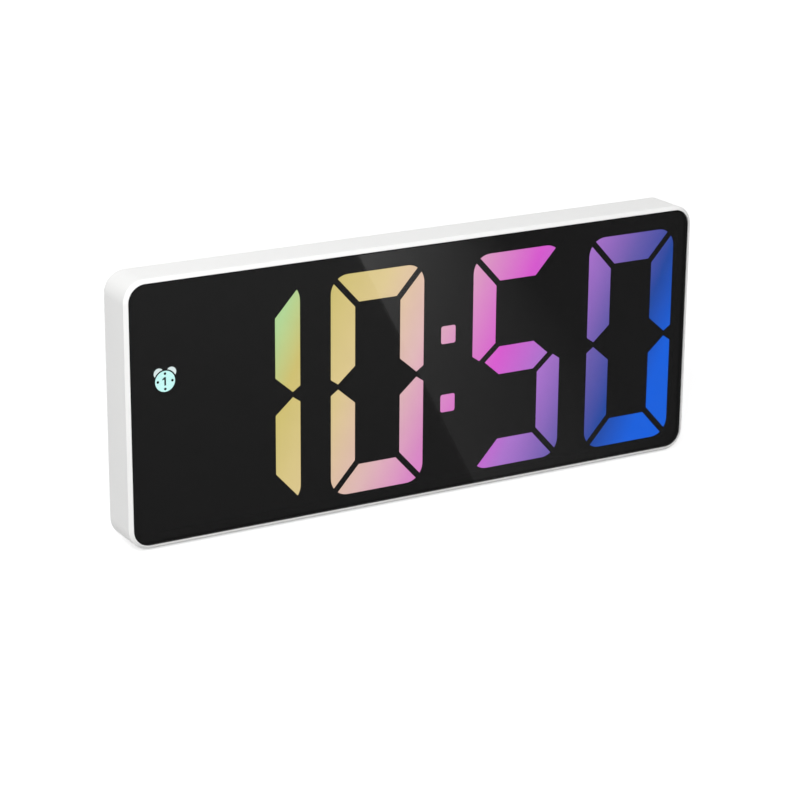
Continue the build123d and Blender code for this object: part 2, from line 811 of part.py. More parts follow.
def coil_point(turned, side, length):
    """A point and direction on the coned coil, about the X axis."""
    share = turned / (2 * pi * spring_turns)
    radius = spring_foot_radius + (spring_tip_radius - spring_foot_radius) * share
    shrink = (spring_tip_radius - spring_foot_radius) / (2 * pi * spring_turns)
    climb = side * length / (2 * pi * spring_turns)
    point = Vector(side * length * share, radius * cos(turned), radius * sin(turned))
    along_y = shrink * cos(turned) - radius * sin(turned)
    along_z = shrink * sin(turned) + radius * cos(turned)
    return point, Vector(climb, along_y, along_z).normalized()


def two_arcs(start, start_dir, end, end_dir):
    """Two arcs that join two points and keep both directions."""
    chord = end - start
    total = start_dir + end_dir
    spread = 2 * (1 - start_dir.dot(end_dir))
    along = chord.dot(total)
    reach = (-along + sqrt(along * along + spread * chord.dot(chord))) / spread
    joint = (start + end + (start_dir - end_dir) * reach) * 0.5
    first = TangentArc(start, joint, tangent=start_dir)
    return [first, TangentArc(joint, end, tangent=first % 1)]


def least_coil_gap():
    """Least clear distance between the turns of a spring, measured on points along its wire."""
    per_turn = 48
    length = spring_length - 2 * spring_wire_radius
    points = [coil_point(i * 2 * pi / per_turn, 1, length)[0] for i in range(per_turn * spring_turns + 1)]
    nearest = length
    for i, point in enumerate(points):
        for other in points[i + per_turn // 2:]:
            nearest = min(nearest, (other - point).length)
    return nearest - 2 * spring_wire_radius


def spring(x, side, row):
    """A coned coil spring standing on a contact plate."""
    length = spring_length - 2 * spring_wire_radius
    arcs = []
    step = pi / 2
    count = 4 * spring_turns
    for i in range(count):
        start, start_dir = coil_point(i * step, side, length)
        end, end_dir = coil_point((i + 1) * step, side, length)
        arcs += two_arcs(start, start_dir, end, end_dir)
    path = Wire(arcs)
    start, start_dir = coil_point(0, side, length)
    section = Plane(origin=start, z_dir=start_dir) * RegularPolygon(spring_wire_radius, 6)
    coil = sweep(section, path=path)
    return Pos(x + side * (contact_plate + spring_wire_radius), y_at(cell_mid), cell_z[row]) * coil


def make_battery():
    """Three cells, their contact plates and springs."""
    mid_plus_left = bay_x0 + positive_space + cell_length / 2
    mid_plus_right = bay_x1 - positive_space - cell_length / 2
    cells = []
    for row, side in enumerate((-1, 1, -1)):
        cells.append(cell(mid_plus_left if side < 0 else mid_plus_right, cell_z[row], side))
    save("battery_cells", Compound(cells))
    save("contact_positive", contact(bay_x0, 1, (0,)) + contact_leg_shape(bay_x0, 1, 0) + bump(bay_x0, 1, 0))
    save("contact_negative", contact(bay_x1, -1, (2,)) + contact_leg_shape(bay_x1, -1, 2))
    save("contact_bridge_left", contact(bay_x0, 1, (1, 2)) + bump(bay_x0, 1, 2))
    save("contact_bridge_right", contact(bay_x1, -1, (0, 1)) + bump(bay_x1, -1, 1))
    coils = [spring(bay_x1, -1, 0), spring(bay_x0, 1, 1), spring(bay_x1, -1, 2)]
    save("contact_springs", Compound(coils))
    print("least gap between spring turns", round(least_coil_gap(), 3))


def make_feet():
    """Four round rubber feet."""
    pads = []
    for x, depth in foot_places():
        pad = foot_shape(x, depth, foot_radius, foot_proud + foot_recess)
        pads.append(chamfer(pad.faces().sort_by(Axis.Z)[0].edges(), foot_edge_break))
    save("rubber_feet", Compound(pads))


make_display()
make_housing()
make_lens()
make_board()
make_buttons()
plinth = plinth_body()
make_door(plinth)
make_cover(plinth)
make_screws()
make_power()
make_battery()
make_feet()
print("case", round(case_width, 2), round(total_depth, 2), round(case_height + foot_proud, 2))
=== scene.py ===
"""Looks of a white digital desk clock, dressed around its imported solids.

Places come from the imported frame, in metres. X runs to the right as seen from the
front, Y to the back and Z up, so the lens faces -Y.
"""

from __future__ import annotations

import json
import logging
import math
from collections.abc import Sequence
from dataclasses import dataclass
from enum import Enum
from typing import Any

import bmesh
import bpy
from bpy.types import Material, Mesh, Node, NodeSocket, NodeTree, Object
from mathutils import Matrix, Vector

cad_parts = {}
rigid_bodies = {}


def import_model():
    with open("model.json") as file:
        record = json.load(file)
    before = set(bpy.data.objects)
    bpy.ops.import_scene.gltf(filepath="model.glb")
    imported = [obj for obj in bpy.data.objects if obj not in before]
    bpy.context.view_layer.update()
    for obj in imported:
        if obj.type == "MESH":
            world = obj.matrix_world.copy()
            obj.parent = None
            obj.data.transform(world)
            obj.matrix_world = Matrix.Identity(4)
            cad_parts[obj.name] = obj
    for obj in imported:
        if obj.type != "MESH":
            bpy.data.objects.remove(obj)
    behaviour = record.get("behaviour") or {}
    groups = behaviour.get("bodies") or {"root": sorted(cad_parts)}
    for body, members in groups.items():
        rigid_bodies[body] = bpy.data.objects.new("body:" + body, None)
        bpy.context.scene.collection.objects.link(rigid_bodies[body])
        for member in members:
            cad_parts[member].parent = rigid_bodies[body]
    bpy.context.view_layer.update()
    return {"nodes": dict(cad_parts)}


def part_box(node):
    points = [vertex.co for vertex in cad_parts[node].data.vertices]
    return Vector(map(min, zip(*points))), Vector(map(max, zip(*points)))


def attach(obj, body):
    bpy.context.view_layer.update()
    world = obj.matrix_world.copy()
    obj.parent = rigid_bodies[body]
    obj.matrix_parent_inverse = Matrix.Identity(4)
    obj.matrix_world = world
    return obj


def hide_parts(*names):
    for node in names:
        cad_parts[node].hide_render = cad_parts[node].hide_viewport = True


LOG = logging.getLogger("desk_clock")
MM = 0.001

# Vertices closer than this are one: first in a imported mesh, then in a new one.
MERGE_DISTANCE = 1e-6
WELD_DISTANCE = 1e-7
# Edges that turn by more than this many degrees stay sharp.
CREASE = 35.0
# A direction that rises by more than this takes its upright from +Y.
STEEP = 0.9

Colour = tuple[float, float, float, float]
Point = tuple[float, float]
Box = tuple[Vector, Vector]
Nodes = dict[str, Object]

WHITE: Colour = (1.0, 1.0, 1.0, 1.0)
BLACK: Colour = (0.0, 0.0, 0.0, 1.0)


class Body(Enum):
    """The bodies that a piece can ride on."""

    CASE = "case"
    MODE_KEY = "mode_key"
    SET_KEY = "set_key"
    UP_KEY = "up_key"
    DOWN_KEY = "down_key"
    DOOR = "door"


def shade(code: str, level: float = 1.0) -> Colour:
    """Linear colour of six hex digits.

    Args:
        code: Screen colour, such as "f2f2f0".
        level: Factor on the linear value.

    Returns:
        Red, green and blue, with an alpha of one.
    """
    channels = [int(code[i : i + 2], 16) / 255 for i in (0, 2, 4)]
    red, green, blue = (c / 12.92 if c <= 0.04045 else ((c + 0.055) / 1.055) ** 2.4 for c in channels)
    return (level * red, level * green, level * blue, 1.0)


class Wiring:
    """Adds nodes to one tree and joins them."""

    def __init__(self, tree: NodeTree) -> None:
        """Keep the tree that is wired."""
        self.tree = tree

    def add(self, kind: str, inputs: dict[str | int, Any] | None = None, **settings: Any) -> Node:
        """Add one node.

        Args:
            kind: Type name of the node.
            inputs: A plain value or an output socket for each input that is set.
            settings: Properties of the node.

        Returns:
            The new node.
        """
        node = self.tree.nodes.new(kind)
        for name, value in settings.items():
            setattr(node, name, value)
        for key, value in (inputs or {}).items():
            self.feed(node.inputs[key], value)
        return node

    def feed(self, socket: NodeSocket, value: Any) -> None:
        """Join an output socket to an input, or set a plain value on it."""
        if isinstance(value, NodeSocket):
            self.tree.links.new(value, socket)
        else:
            socket.default_value = value

    def maths(self, operation: str, *values: Any) -> NodeSocket:
        """One arithmetic step, in either kind of tree."""
        return self.add("ShaderNodeMath", dict(enumerate(values)), operation=operation).outputs[0]

    def sum_of(self, first: Any, factor: Any, second: Any) -> NodeSocket:
        """First times factor plus second."""
        return self.maths("MULTIPLY_ADD", first, factor, second)

    def place(self) -> NodeSocket:
        """Coordinates in the object's own frame, for a shader."""
        return self.add("ShaderNodeTexCoord").outputs["Object"]


class Effect(Enum):
    """Surface effects that several finishes share, each kept as one node group."""

    GRAIN = "moulded_grain"
    STREAKS = "drawn_streaks"
    SMUDGES = "handling_smudges"

    def group(self) -> NodeTree:
        """The effect's node group, built on first use."""
        made = bpy.data.node_groups.get(self.value)
        if made is None:
            made = bpy.data.node_groups.new(self.value, "ShaderNodeTree")
            builders = {
                Effect.GRAIN: self._build_grain,
                Effect.STREAKS: self._build_streaks,
                Effect.SMUDGES: self._build_smudges,
            }
            builders[self](Wiring(made))
        return made

    @staticmethod
    def _sockets(wiring: Wiring, inputs: Sequence[str], outputs: Sequence[str]) -> tuple[Any, Any]:
        """Declare a group's sockets.

        Args:
            wiring: The group under construction.
            inputs: Names of its number inputs.
            outputs: Names of its number outputs.

        Returns:
            The outputs of the group's input node and the inputs of its output node.
        """
        for name in inputs:
            wiring.tree.interface.new_socket(name=name, in_out="INPUT", socket_type="NodeSocketFloat")
        for name in outputs:
            wiring.tree.interface.new_socket(name=name, in_out="OUTPUT", socket_type="NodeSocketFloat")
        return wiring.add("NodeGroupInput").outputs, wiring.add("NodeGroupOutput").inputs

    @staticmethod
    def _places(wiring: Wiring, size: NodeSocket) -> NodeSocket:
        """Object coordinates counted in steps of a size."""
        place = wiring.place()
        steps = wiring.maths("DIVIDE", 1.0, size)
        scaled = wiring.add("ShaderNodeVectorMath", {0: place, "Scale": steps}, operation="SCALE")
        return scaled.outputs[0]

    @classmethod
    def _build_grain(cls, wiring: Wiring) -> None:
        """Fine spark-eroded grain, and a broad soft mottle."""
        given, result = cls._sockets(wiring, ("Grain Size", "Mottle Size"), ("Height", "Mottle"))
        fine = cls._places(wiring, given["Grain Size"])
        pits = wiring.add("ShaderNodeTexVoronoi", {"Vector": fine, "Scale": 1.0}, feature="SMOOTH_F1")
        crumb = wiring.add("ShaderNodeTexNoise", {"Vector": fine, "Scale": 0.7, "Detail": 3.0})
        broad = cls._places(wiring, given["Mottle Size"])
        mottle = wiring.add("ShaderNodeTexNoise", {"Vector": broad, "Scale": 1.0, "Detail": 2.0})
        wiring.feed(result["Height"], wiring.sum_of(pits.outputs["Distance"], 0.5, crumb.outputs["Fac"]))
        wiring.feed(result["Mottle"], mottle.outputs["Fac"])

    @classmethod
    def _build_streaks(cls, wiring: Wiring) -> None:
        """Long drawn lines, fine across and stretched along one axis."""
        sizes = ("Line Size", "Stretch X", "Stretch Y", "Stretch Z")
        given, result = cls._sockets(wiring, sizes, ("Streak",))
        fine = cls._places(wiring, given["Line Size"])
        pull = wiring.add("ShaderNodeCombineXYZ", {a: given[f"Stretch {a}"] for a in "XYZ"})
        drawn = wiring.add("ShaderNodeVectorMath", {0: fine, 1: pull.outputs[0]}, operation="DIVIDE")
        lines = wiring.add("ShaderNodeTexNoise", {"Vector": drawn.outputs[0], "Scale": 1.0, "Detail": 4.0})
        wiring.feed(result["Streak"], lines.outputs["Fac"])

    @classmethod
    def _build_smudges(cls, wiring: Wiring) -> None:
        """Soft patches where hands have touched."""
        given, result = cls._sockets(wiring, ("Patch Size",), ("Mask",))
        broad = cls._places(wiring, given["Patch Size"])
        cloud = wiring.add(
            "ShaderNodeTexNoise", {"Vector": broad, "Scale": 1.0, "Detail": 5.0, "Distortion": 0.8}
        )
        patch = wiring.add(
            "ShaderNodeMapRange",
            {"Value": cloud.outputs["Fac"], "From Min": 0.45, "From Max": 0.7},
            interpolation_type="SMOOTHSTEP",
        )
        wiring.feed(result["Mask"], patch.outputs["Result"])


class Surface(Wiring):
    """A material under construction: one principled shader and what feeds it."""

    def __init__(self, name: str, plain: dict[str, Any] | None = None) -> None:
        """Start a material.

        Args:
            name: Name of the material.
            plain: Shader values that are the same all over.
        """
        self.material = bpy.data.materials.new(name)
        self.material.use_nodes = True
        super().__init__(self.material.node_tree)
        self.shader = self.tree.nodes["Principled BSDF"]
        for socket, value in (plain or {}).items():
            self.shader.inputs[socket].default_value = value

    def effect(self, effect: Effect, sizes: dict[str, float]) -> Node:
        """Place a shared effect with its own values.

        Args:
            effect: Which effect.
            sizes: Value of each of its inputs.

        Returns:
            The group node.
        """
        return self.add("ShaderNodeGroup", sizes, node_tree=effect.group())

    def blend(self, low: Colour, high: Colour, mask: NodeSocket) -> NodeSocket:
        """A colour that runs from low to high with a mask."""
        mix = self.add("ShaderNodeMix", {0: mask, 6: low, 7: high}, data_type="RGBA")
        return mix.outputs[2]

    def span(self, low: float, high: float, mask: NodeSocket) -> NodeSocket:
        """A value that runs from low to high with a mask."""
        node = self.add("ShaderNodeMapRange", {"Value": mask, "To Min": low, "To Max": high})
        return node.outputs["Result"]

    def reach(self, value: NodeSocket, start: float, end: float) -> NodeSocket:
        """How far a value has come from start to end, from nought to one."""
        node = self.add("ShaderNodeMapRange", {"Value": value, "From Min": start, "From Max": end})
        return node.outputs["Result"]

    def set(self, socket: str, value: Any) -> None:
        """Feed one input of the shader."""
        self.feed(self.shader.inputs[socket], value)

    def bump(self, height: NodeSocket, depth: float) -> None:
        """Raise the surface by a height mask, to a depth in metres."""
        node = self.add("ShaderNodeBump", {"Height": height, "Distance": depth, "Strength": 1.0})
        self.set("Normal", node.outputs["Normal"])


@dataclass(frozen=True)
class MouldedPlastic:
    """Moulded plastic or rubber with a fine eroded grain."""

    name: str
    colour: str
    roughness: float
    grain: float = 0.16 * MM
    depth: float = 0.003 * MM
    drift: float = 0.015
    mottle: float = 18 * MM
    gloss: float = 0.5
    handled: float = 0.86

    def material(self) -> Material:
        """Build the finish."""
        surface = Surface(self.name, {"Specular IOR Level": self.gloss})
        grain = surface.effect(Effect.GRAIN, {"Grain Size": self.grain, "Mottle Size": self.mottle})
        touched = surface.effect(Effect.SMUDGES, {"Patch Size": 2 * self.mottle})
        low = shade(self.colour, 1 - self.drift)
        high = shade(self.colour, 1 + self.drift)
        surface.set("Base Color", surface.blend(low, high, grain.outputs["Mottle"]))
        rough = surface.span(self.roughness, self.handled * self.roughness, touched.outputs["Mask"])
        surface.set("Roughness", rough)
        surface.bump(grain.outputs["Height"], self.depth)
        return surface.material


@dataclass(frozen=True)
class DrawnMetal:
    """Plated or drawn metal with fine lines along one axis."""

    name: str
    colour: str
    roughness: float
    stretch: tuple[float, float, float] = (1.0, 1.0, 14.0)
    line: float = 0.08 * MM
    depth: float = 0.0015 * MM
    lines_per_patch: int = 60
    low_level: float = 0.86
    swing: float = 0.2
    smudge: float = 0.08

    def material(self) -> Material:
        """Build the finish."""
        surface = Surface(self.name, {"Metallic": 1.0})
        pulls = {f"Stretch {axis}": pull for axis, pull in zip("XYZ", self.stretch)}
        lines = surface.effect(Effect.STREAKS, {"Line Size": self.line, **pulls}).outputs["Streak"]
        patch = self.lines_per_patch * self.line
        touched = surface.effect(Effect.SMUDGES, {"Patch Size": patch}).outputs["Mask"]
        low = shade(self.colour, self.low_level)
        surface.set("Base Color", surface.blend(low, shade(self.colour), lines))
        rough = surface.span((1 - self.swing) * self.roughness, (1 + self.swing) * self.roughness, lines)
        surface.set("Roughness", surface.sum_of(touched, self.smudge, rough))
        surface.bump(lines, self.depth)
        return surface.material


@dataclass(frozen=True)
class SmokedAcrylic:
    """The tinted lens: dark, clear and very smooth."""

    name: str
    tint: str
    ior: float
    roughness: float
    patch: float = 30 * MM
    handled: float = 2.0

    def material(self) -> Material:
        """Build the finish."""
        plain = {"Base Color": shade(self.tint), "IOR": self.ior, "Transmission Weight": 1.0}
        surface = Surface(self.name, plain)
        touched = surface.effect(Effect.SMUDGES, {"Patch Size": self.patch}).outputs["Mask"]
        surface.set("Roughness", surface.span(self.roughness, self.handled * self.roughness, touched))
        return surface.material


@dataclass(frozen=True)
class GlowStop:
    """One colour of the display's sweep, at a distance along it in millimetres."""

    along: float
    colour: str


@dataclass(frozen=True)
class GlowFilm:
    """A lit window: a colour sweep behind a fine diffusing grain."""

    name: str
    stops: tuple[GlowStop, ...]
    strength: float
    slope: float = 0.476
    start: Point = (0.0, 0.0)
    unlit: str = "1c1c1e"
    roughness: float = 0.6
    grain: float = 0.35 * MM
    mottle: float = 6 * MM
    depth: float = 0.002 * MM
    veil: float = 0.04

    def material(self) -> Material:
        """Build the finish."""
        plain = {"Base Color": shade(self.unlit), "Roughness": self.roughness}
        surface = Surface(self.name, {**plain, "Emission Strength": self.strength})
        grain = surface.effect(Effect.GRAIN, {"Grain Size": self.grain, "Mottle Size": self.mottle})
        surface.bump(grain.outputs["Height"], self.depth)
        place = surface.place()
        shifted = surface.add(
            "ShaderNodeVectorMath", {0: place, 1: (self.start[0], 0.0, self.start[1])}, operation="SUBTRACT"
        )
        sweep = (1.0, 0.0, -self.slope)
        along = surface.add(
            "ShaderNodeVectorMath", {0: shifted.outputs[0], 1: sweep}, operation="DOT_PRODUCT"
        )
        first, last = self.stops[0].along, self.stops[-1].along
        reach = surface.reach(along.outputs["Value"], first * MM, last * MM)
        ramp = surface.add("ShaderNodeValToRGB", {"Fac": reach})
        marks = ramp.color_ramp.elements
        while len(marks) < len(self.stops):
            marks.new(1.0)
        for mark, stop in zip(marks, self.stops):
            mark.position = (stop.along - first) / (last - first)
            mark.color = shade(stop.colour)
        veil = surface.span(1 - self.veil, 1 + self.veil, grain.outputs["Mottle"])
        glow = surface.add(
            "ShaderNodeVectorMath", {0: ramp.outputs["Color"], "Scale": veil}, operation="SCALE"
        )
        surface.set("Emission Color", glow.outputs[0])
        return surface.material


@dataclass(frozen=True)
class BoardLacquer:
    """Circuit board lacquer with faint tracks under it."""

    name: str
    colour: str
    track: str
    pitch: float = 2.0 * MM
    roughness: float = 0.35
    track_start: float = 0.55
    track_end: float = 0.65
    depth: float = 0.02 * MM

    def material(self) -> Material:
        """Build the finish."""
        surface = Surface(self.name, {"Roughness": self.roughness})
        place = surface.place()
        bands = surface.add(
            "ShaderNodeTexWave",
            {"Vector": place, "Scale": 0.3 / self.pitch, "Distortion": 2.5, "Detail": 1.0},
            bands_direction="DIAGONAL",
        )
        tracks = surface.reach(bands.outputs["Fac"], self.track_start, self.track_end)
        surface.set("Base Color", surface.blend(shade(self.colour), shade(self.track), tracks))
        surface.bump(tracks, self.depth)
        return surface.material


# How much of the light the lens lets through, which the lit windows make up for.
LENS_CLEARNESS = 0.425

RAINBOW = (
    GlowStop(46, "afd393"),
    GlowStop(56, "ccbd6e"),
    GlowStop(72, "d9c48b"),
    GlowStop(90, "dcb5b4"),
    GlowStop(104, "d687c2"),
    GlowStop(117, "d555cc"),
    GlowStop(132, "a86fc9"),
    GlowStop(148, "6357a8"),
    GlowStop(160, "18439c"),
    GlowStop(172, "005cda"),
)
ICE = (GlowStop(0, "c6f8f4"), GlowStop(160, "c6f8f4"))
FROST = (GlowStop(0, "d9e9e8"), GlowStop(160, "d9e9e8"))

WHITE_SHELL = MouldedPlastic("white_shell_abs", "f1f1f0", 0.38)
WHITE_KEY = MouldedPlastic("white_key_abs", "eeeeec", 0.32, grain=0.1 * MM)
TAPE = MouldedPlastic("tape_black", "060607", 0.8, gloss=0.1)
BLACK_EDGE = MouldedPlastic("lens_edge_black", "0b0b0c", 0.3, depth=0.0005 * MM, gloss=0.1)
INK = MouldedPlastic("icon_ink", "030a0b", 0.7, gloss=0.1)
STEEL = DrawnMetal("screw_steel_plated", "b9bcc0", 0.3)
NICKEL = DrawnMetal("contact_nickel_plated", "cfcbc0", 0.24, stretch=(1.0, 14.0, 1.0))
GOLD = DrawnMetal("contact_gold_flash", "d9b25a", 0.22, stretch=(1.0, 14.0, 1.0))
RUBBER = MouldedPlastic("foot_rubber_grey", "55565a", 0.75, depth=0.006 * MM, gloss=0.3)
SLEEVE = MouldedPlastic("cell_sleeve_teal", "1f6f78", 0.3, depth=0.0008 * MM)
SLEEVE_BAND = MouldedPlastic("cell_sleeve_band", "e4e6e2", 0.3, depth=0.0008 * MM)
INSULATOR = MouldedPlastic("cell_insulator", "2a2a2c", 0.6)
CELL_CAP = DrawnMetal("cell_end_steel", "c9cbcd", 0.28)

Finish = MouldedPlastic | DrawnMetal | SmokedAcrylic | GlowFilm | BoardLacquer

# The finish of every material slot in the record, apart from the lit windows, which Display dresses.
SLOT_FINISHES: dict[str, Finish] = {
    "white_shell": WHITE_SHELL,
    "white_button": WHITE_KEY,
    "smoked_lens": SmokedAcrylic("lens_smoked_acrylic", "b5b5b5", 1.49, 0.01),
    "black_tape": TAPE,
    "film_black": MouldedPlastic("film_printed_black", "060607", 0.8, gloss=0.1),
    "window_dark": MouldedPlastic("window_unlit", "070708", 0.8, gloss=0.1),
    "reflector_black": MouldedPlastic("reflector_black", "101012", 0.6),
    "lamp_yellow": MouldedPlastic("lamp_phosphor", "e8c33a", 0.4),
    "board_green": BoardLacquer("board_lacquer", "0f4a2a", "1c6a3c"),
    "chip_black": MouldedPlastic("chip_epoxy", "1a1a1c", 0.55),
    "tinned_metal": DrawnMetal("tinned_lead", "c4c6c8", 0.3),
    "crystal_can": DrawnMetal("crystal_can_nickel", "c8c4b8", 0.25, stretch=(14.0, 1.0, 1.0)),
    "capacitor_amber": MouldedPlastic("capacitor_amber", "b07a2a", 0.45),
    "resistor_dark": MouldedPlastic("resistor_glaze", "232326", 0.4),
    "switch_black": MouldedPlastic("switch_nylon", "18181a", 0.5),
    "plunger_tan": MouldedPlastic("plunger_tan", "b89a72", 0.5),
    "screw_steel": STEEL,
    "socket_steel": DrawnMetal("socket_steel", "c2c4c7", 0.26, stretch=(1.0, 14.0, 1.0)),
    "tongue_black": MouldedPlastic("tongue_black", "141416", 0.5),
    "buzzer_black": MouldedPlastic("buzzer_black", "151517", 0.5),
    "cell_sleeve": SLEEVE,
    "contact_nickel": NICKEL,
    "foot_rubber": RUBBER,
}


class Paint:
    """Hands out one material for each finish."""

    def __init__(self) -> None:
        """Start with nothing mixed."""
        self._made: dict[str, Material] = {}

    def of(self, finish: Finish) -> Material:
        """The material of a finish, built on first use."""
        if finish.name not in self._made:
            self._made[finish.name] = finish.material()
        return self._made[finish.name]


def place_piece(name: str, mesh: Mesh, body: Body, replaced: Sequence[str] = ()) -> None:
    """Link a finished mesh as a piece at the origin.

    Args:
        name: Name of the piece.
        mesh: Its mesh, with its place in it.
        body: The body that it rides on.
        replaced: Nodes that it stands for.
    """
    piece = bpy.data.objects.new(name, mesh)
    bpy.context.scene.collection.objects.link(piece)
    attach(piece, body.value)
    if replaced:
        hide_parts(*replaced)
    LOG.info("%s: %d faces on %s", name, len(mesh.polygons), body.value)


def islands(node: Object) -> list[Box]:
    """Boxes of the separate solids in one node, from left to right and then upwards.

    Args:
        node: The node's object, whose mesh is read from a merged copy.

    Returns:
        Lowest and highest corner of each solid.
    """
    mesh = bmesh.new()
    mesh.from_mesh(node.data)
    bmesh.ops.remove_doubles(mesh, verts=mesh.verts, dist=MERGE_DISTANCE)
    waiting = set(mesh.verts)
    boxes = []
    while waiting:
        front = [waiting.pop()]
        places = []
        while front:
            vertex = front.pop()
            places.append(vertex.co.copy())
            near = {edge.other_vert(vertex) for edge in vertex.link_edges} & waiting
            waiting -= near
            front.extend(near)
        low = Vector(min(p[i] for p in places) for i in range(3))
        high = Vector(max(p[i] for p in places) for i in range(3))
        boxes.append((low, high))
    mesh.free()
    return sorted(boxes, key=lambda box: (round(box[0].x, 5), round(box[0].z, 5)))


def middle(box: Box) -> Vector:
    """Middle of a box."""
    return (box[0] + box[1]) / 2


class Shaper:
    """Builds one mesh from turned, lofted and raised forms."""

    def __init__(self) -> None:
        """Start with an empty mesh."""
        self.mesh = bmesh.new()

    def skin(
        self, loops: Sequence[Sequence[Vector]], bands: Sequence[int] = (), closed: bool = False
    ) -> None:
        """Join closed loops of equal length into a skin.

        Args:
            loops: The loops in order.
            bands: Material of the strip after each loop, and the first one elsewhere.
            closed: Join the last loop to the first instead of filling both ends.
        """
        rings = [[self.mesh.verts.new(place) for place in loop] for loop in loops]
        count = len(rings[0])
        pairs = list(zip(rings, rings[1:]))
        if closed:
            pairs.append((rings[-1], rings[0]))
        for row, (near, far) in enumerate(pairs):
            for i in range(count):
                j = (i + 1) % count
                face = self.mesh.faces.new((near[i], near[j], far[j], far[i]))
                face.material_index = bands[row] if row < len(bands) else 0
        if not closed:
            self.mesh.faces.new(rings[0][::-1])
            last = self.mesh.faces.new(rings[-1])
            last.material_index = bands[-1] if bands else 0

    def turn(
        self,
        profile: Sequence[Point],
        place: Matrix,
        steps: int,
        bands: Sequence[int] = (),
        closed: bool = False,
    ) -> None:
        """Turn a profile about the local Z axis.

        Args:
            profile: Radius and height of each ring.
            place: Where the turned form stands.
            steps: Corners of each ring.
            bands: Material of the strip after each ring.
            closed: The profile is a closed one that stays off the axis.
        """
        angles = [2 * math.pi * i / steps for i in range(steps)]
        loops = []
        for radius, height in profile:
            ring = [Vector((radius * math.cos(a), radius * math.sin(a), height)) for a in angles]
            loops.append([place @ corner for corner in ring])
        self.skin(loops, bands, closed)

    def raise_mark(self, outline: Sequence[Point], place: Matrix, height: float, edge: float) -> None:
        """Raise a flat outline into a low mark with a softened edge.

        Args:
            outline: Corners about the local origin, in the local XY plane.
            place: Where the mark stands; it rises along local Z.
            height: How high it stands.
            edge: Width of the softened edge.
        """
        low = [place @ Vector((x, y, 0.0)) for x, y in outline]
        up = place.to_3x3() @ Vector((0.0, 0.0, height))
        self.skin((low, [p + up for p in low]))
        self.mesh.faces.ensure_lookup_table()
        top = self.mesh.faces[-1]
        bmesh.ops.bevel(self.mesh, geom=list(top.edges), offset=edge, segments=2, profile=0.5, affect="EDGES")

    def finish(self, name: str, materials: Sequence[Material]) -> Mesh:
        """Close, turn outwards and shade the mesh.

        Args:
            name: Name of the mesh.
            materials: Its materials, in the order of the bands.

        Returns:
            The finished mesh.
        """
        bmesh.ops.remove_doubles(self.mesh, verts=self.mesh.verts, dist=WELD_DISTANCE)
        bmesh.ops.recalc_face_normals(self.mesh, faces=self.mesh.faces)
        mesh = bpy.data.meshes.new(name)
        self.mesh.to_mesh(mesh)
        self.mesh.free()
        return shade_mesh(mesh, materials)


def shade_mesh(mesh: Mesh, materials: Sequence[Material]) -> Mesh:
    """Give a mesh its materials and smooth shading up to the crease angle."""
    for material in materials:
        mesh.materials.append(material)
    mesh.shade_smooth()
    mesh.set_sharp_from_angle(angle=math.radians(CREASE))
    return mesh


def slot_outline(length: float, height: float, steps: int = 10) -> list[Point]:
    """A slot with round ends about the origin.

    Args:
        length: Overall length along the first axis.
        height: Overall height along the second axis.
        steps: Corners on each round end.

    Returns:
        Corners in order.
    """
    radius = height / 2
    run = length / 2 - radius
    corners = []
    for side, first in ((1, -90), (-1, 90)):
        for i in range(steps + 1):
            angle = math.radians(first + 180 * i / steps)
            corners.append((side * run + radius * math.cos(angle), radius * math.sin(angle)))
    return corners


def facing(direction: Sequence[float], place: Vector) -> Matrix:
    """Frame at a place whose local Z points in a direction and whose local Y points up where it can."""
    ahead = Vector(direction).normalized()
    up = Vector((0.0, 0.0, 1.0)) if abs(ahead.z) < STEEP else Vector((0.0, 1.0, 0.0))
    across = up.cross(ahead).normalized()
    turn = Matrix((across, ahead.cross(across), ahead)).transposed()
    return Matrix.Translation(place) @ turn.to_4x4()


def flat_sheet(name: str, low: Point, high: Point, level: float = 0.0) -> Mesh:
    """A level rectangle.

    Args:
        name: Name of the mesh.
        low: Its left front corner.
        high: Its right back corner.
        level: Its height.

    Returns:
        The mesh, still without a material.
    """
    mesh = bpy.data.meshes.new(name)
    corners = (low, (high[0], low[1]), high, (low[0], high[1]))
    mesh.from_pydata([(x, y, level) for x, y in corners], [], [(0, 1, 2, 3)])
    return mesh


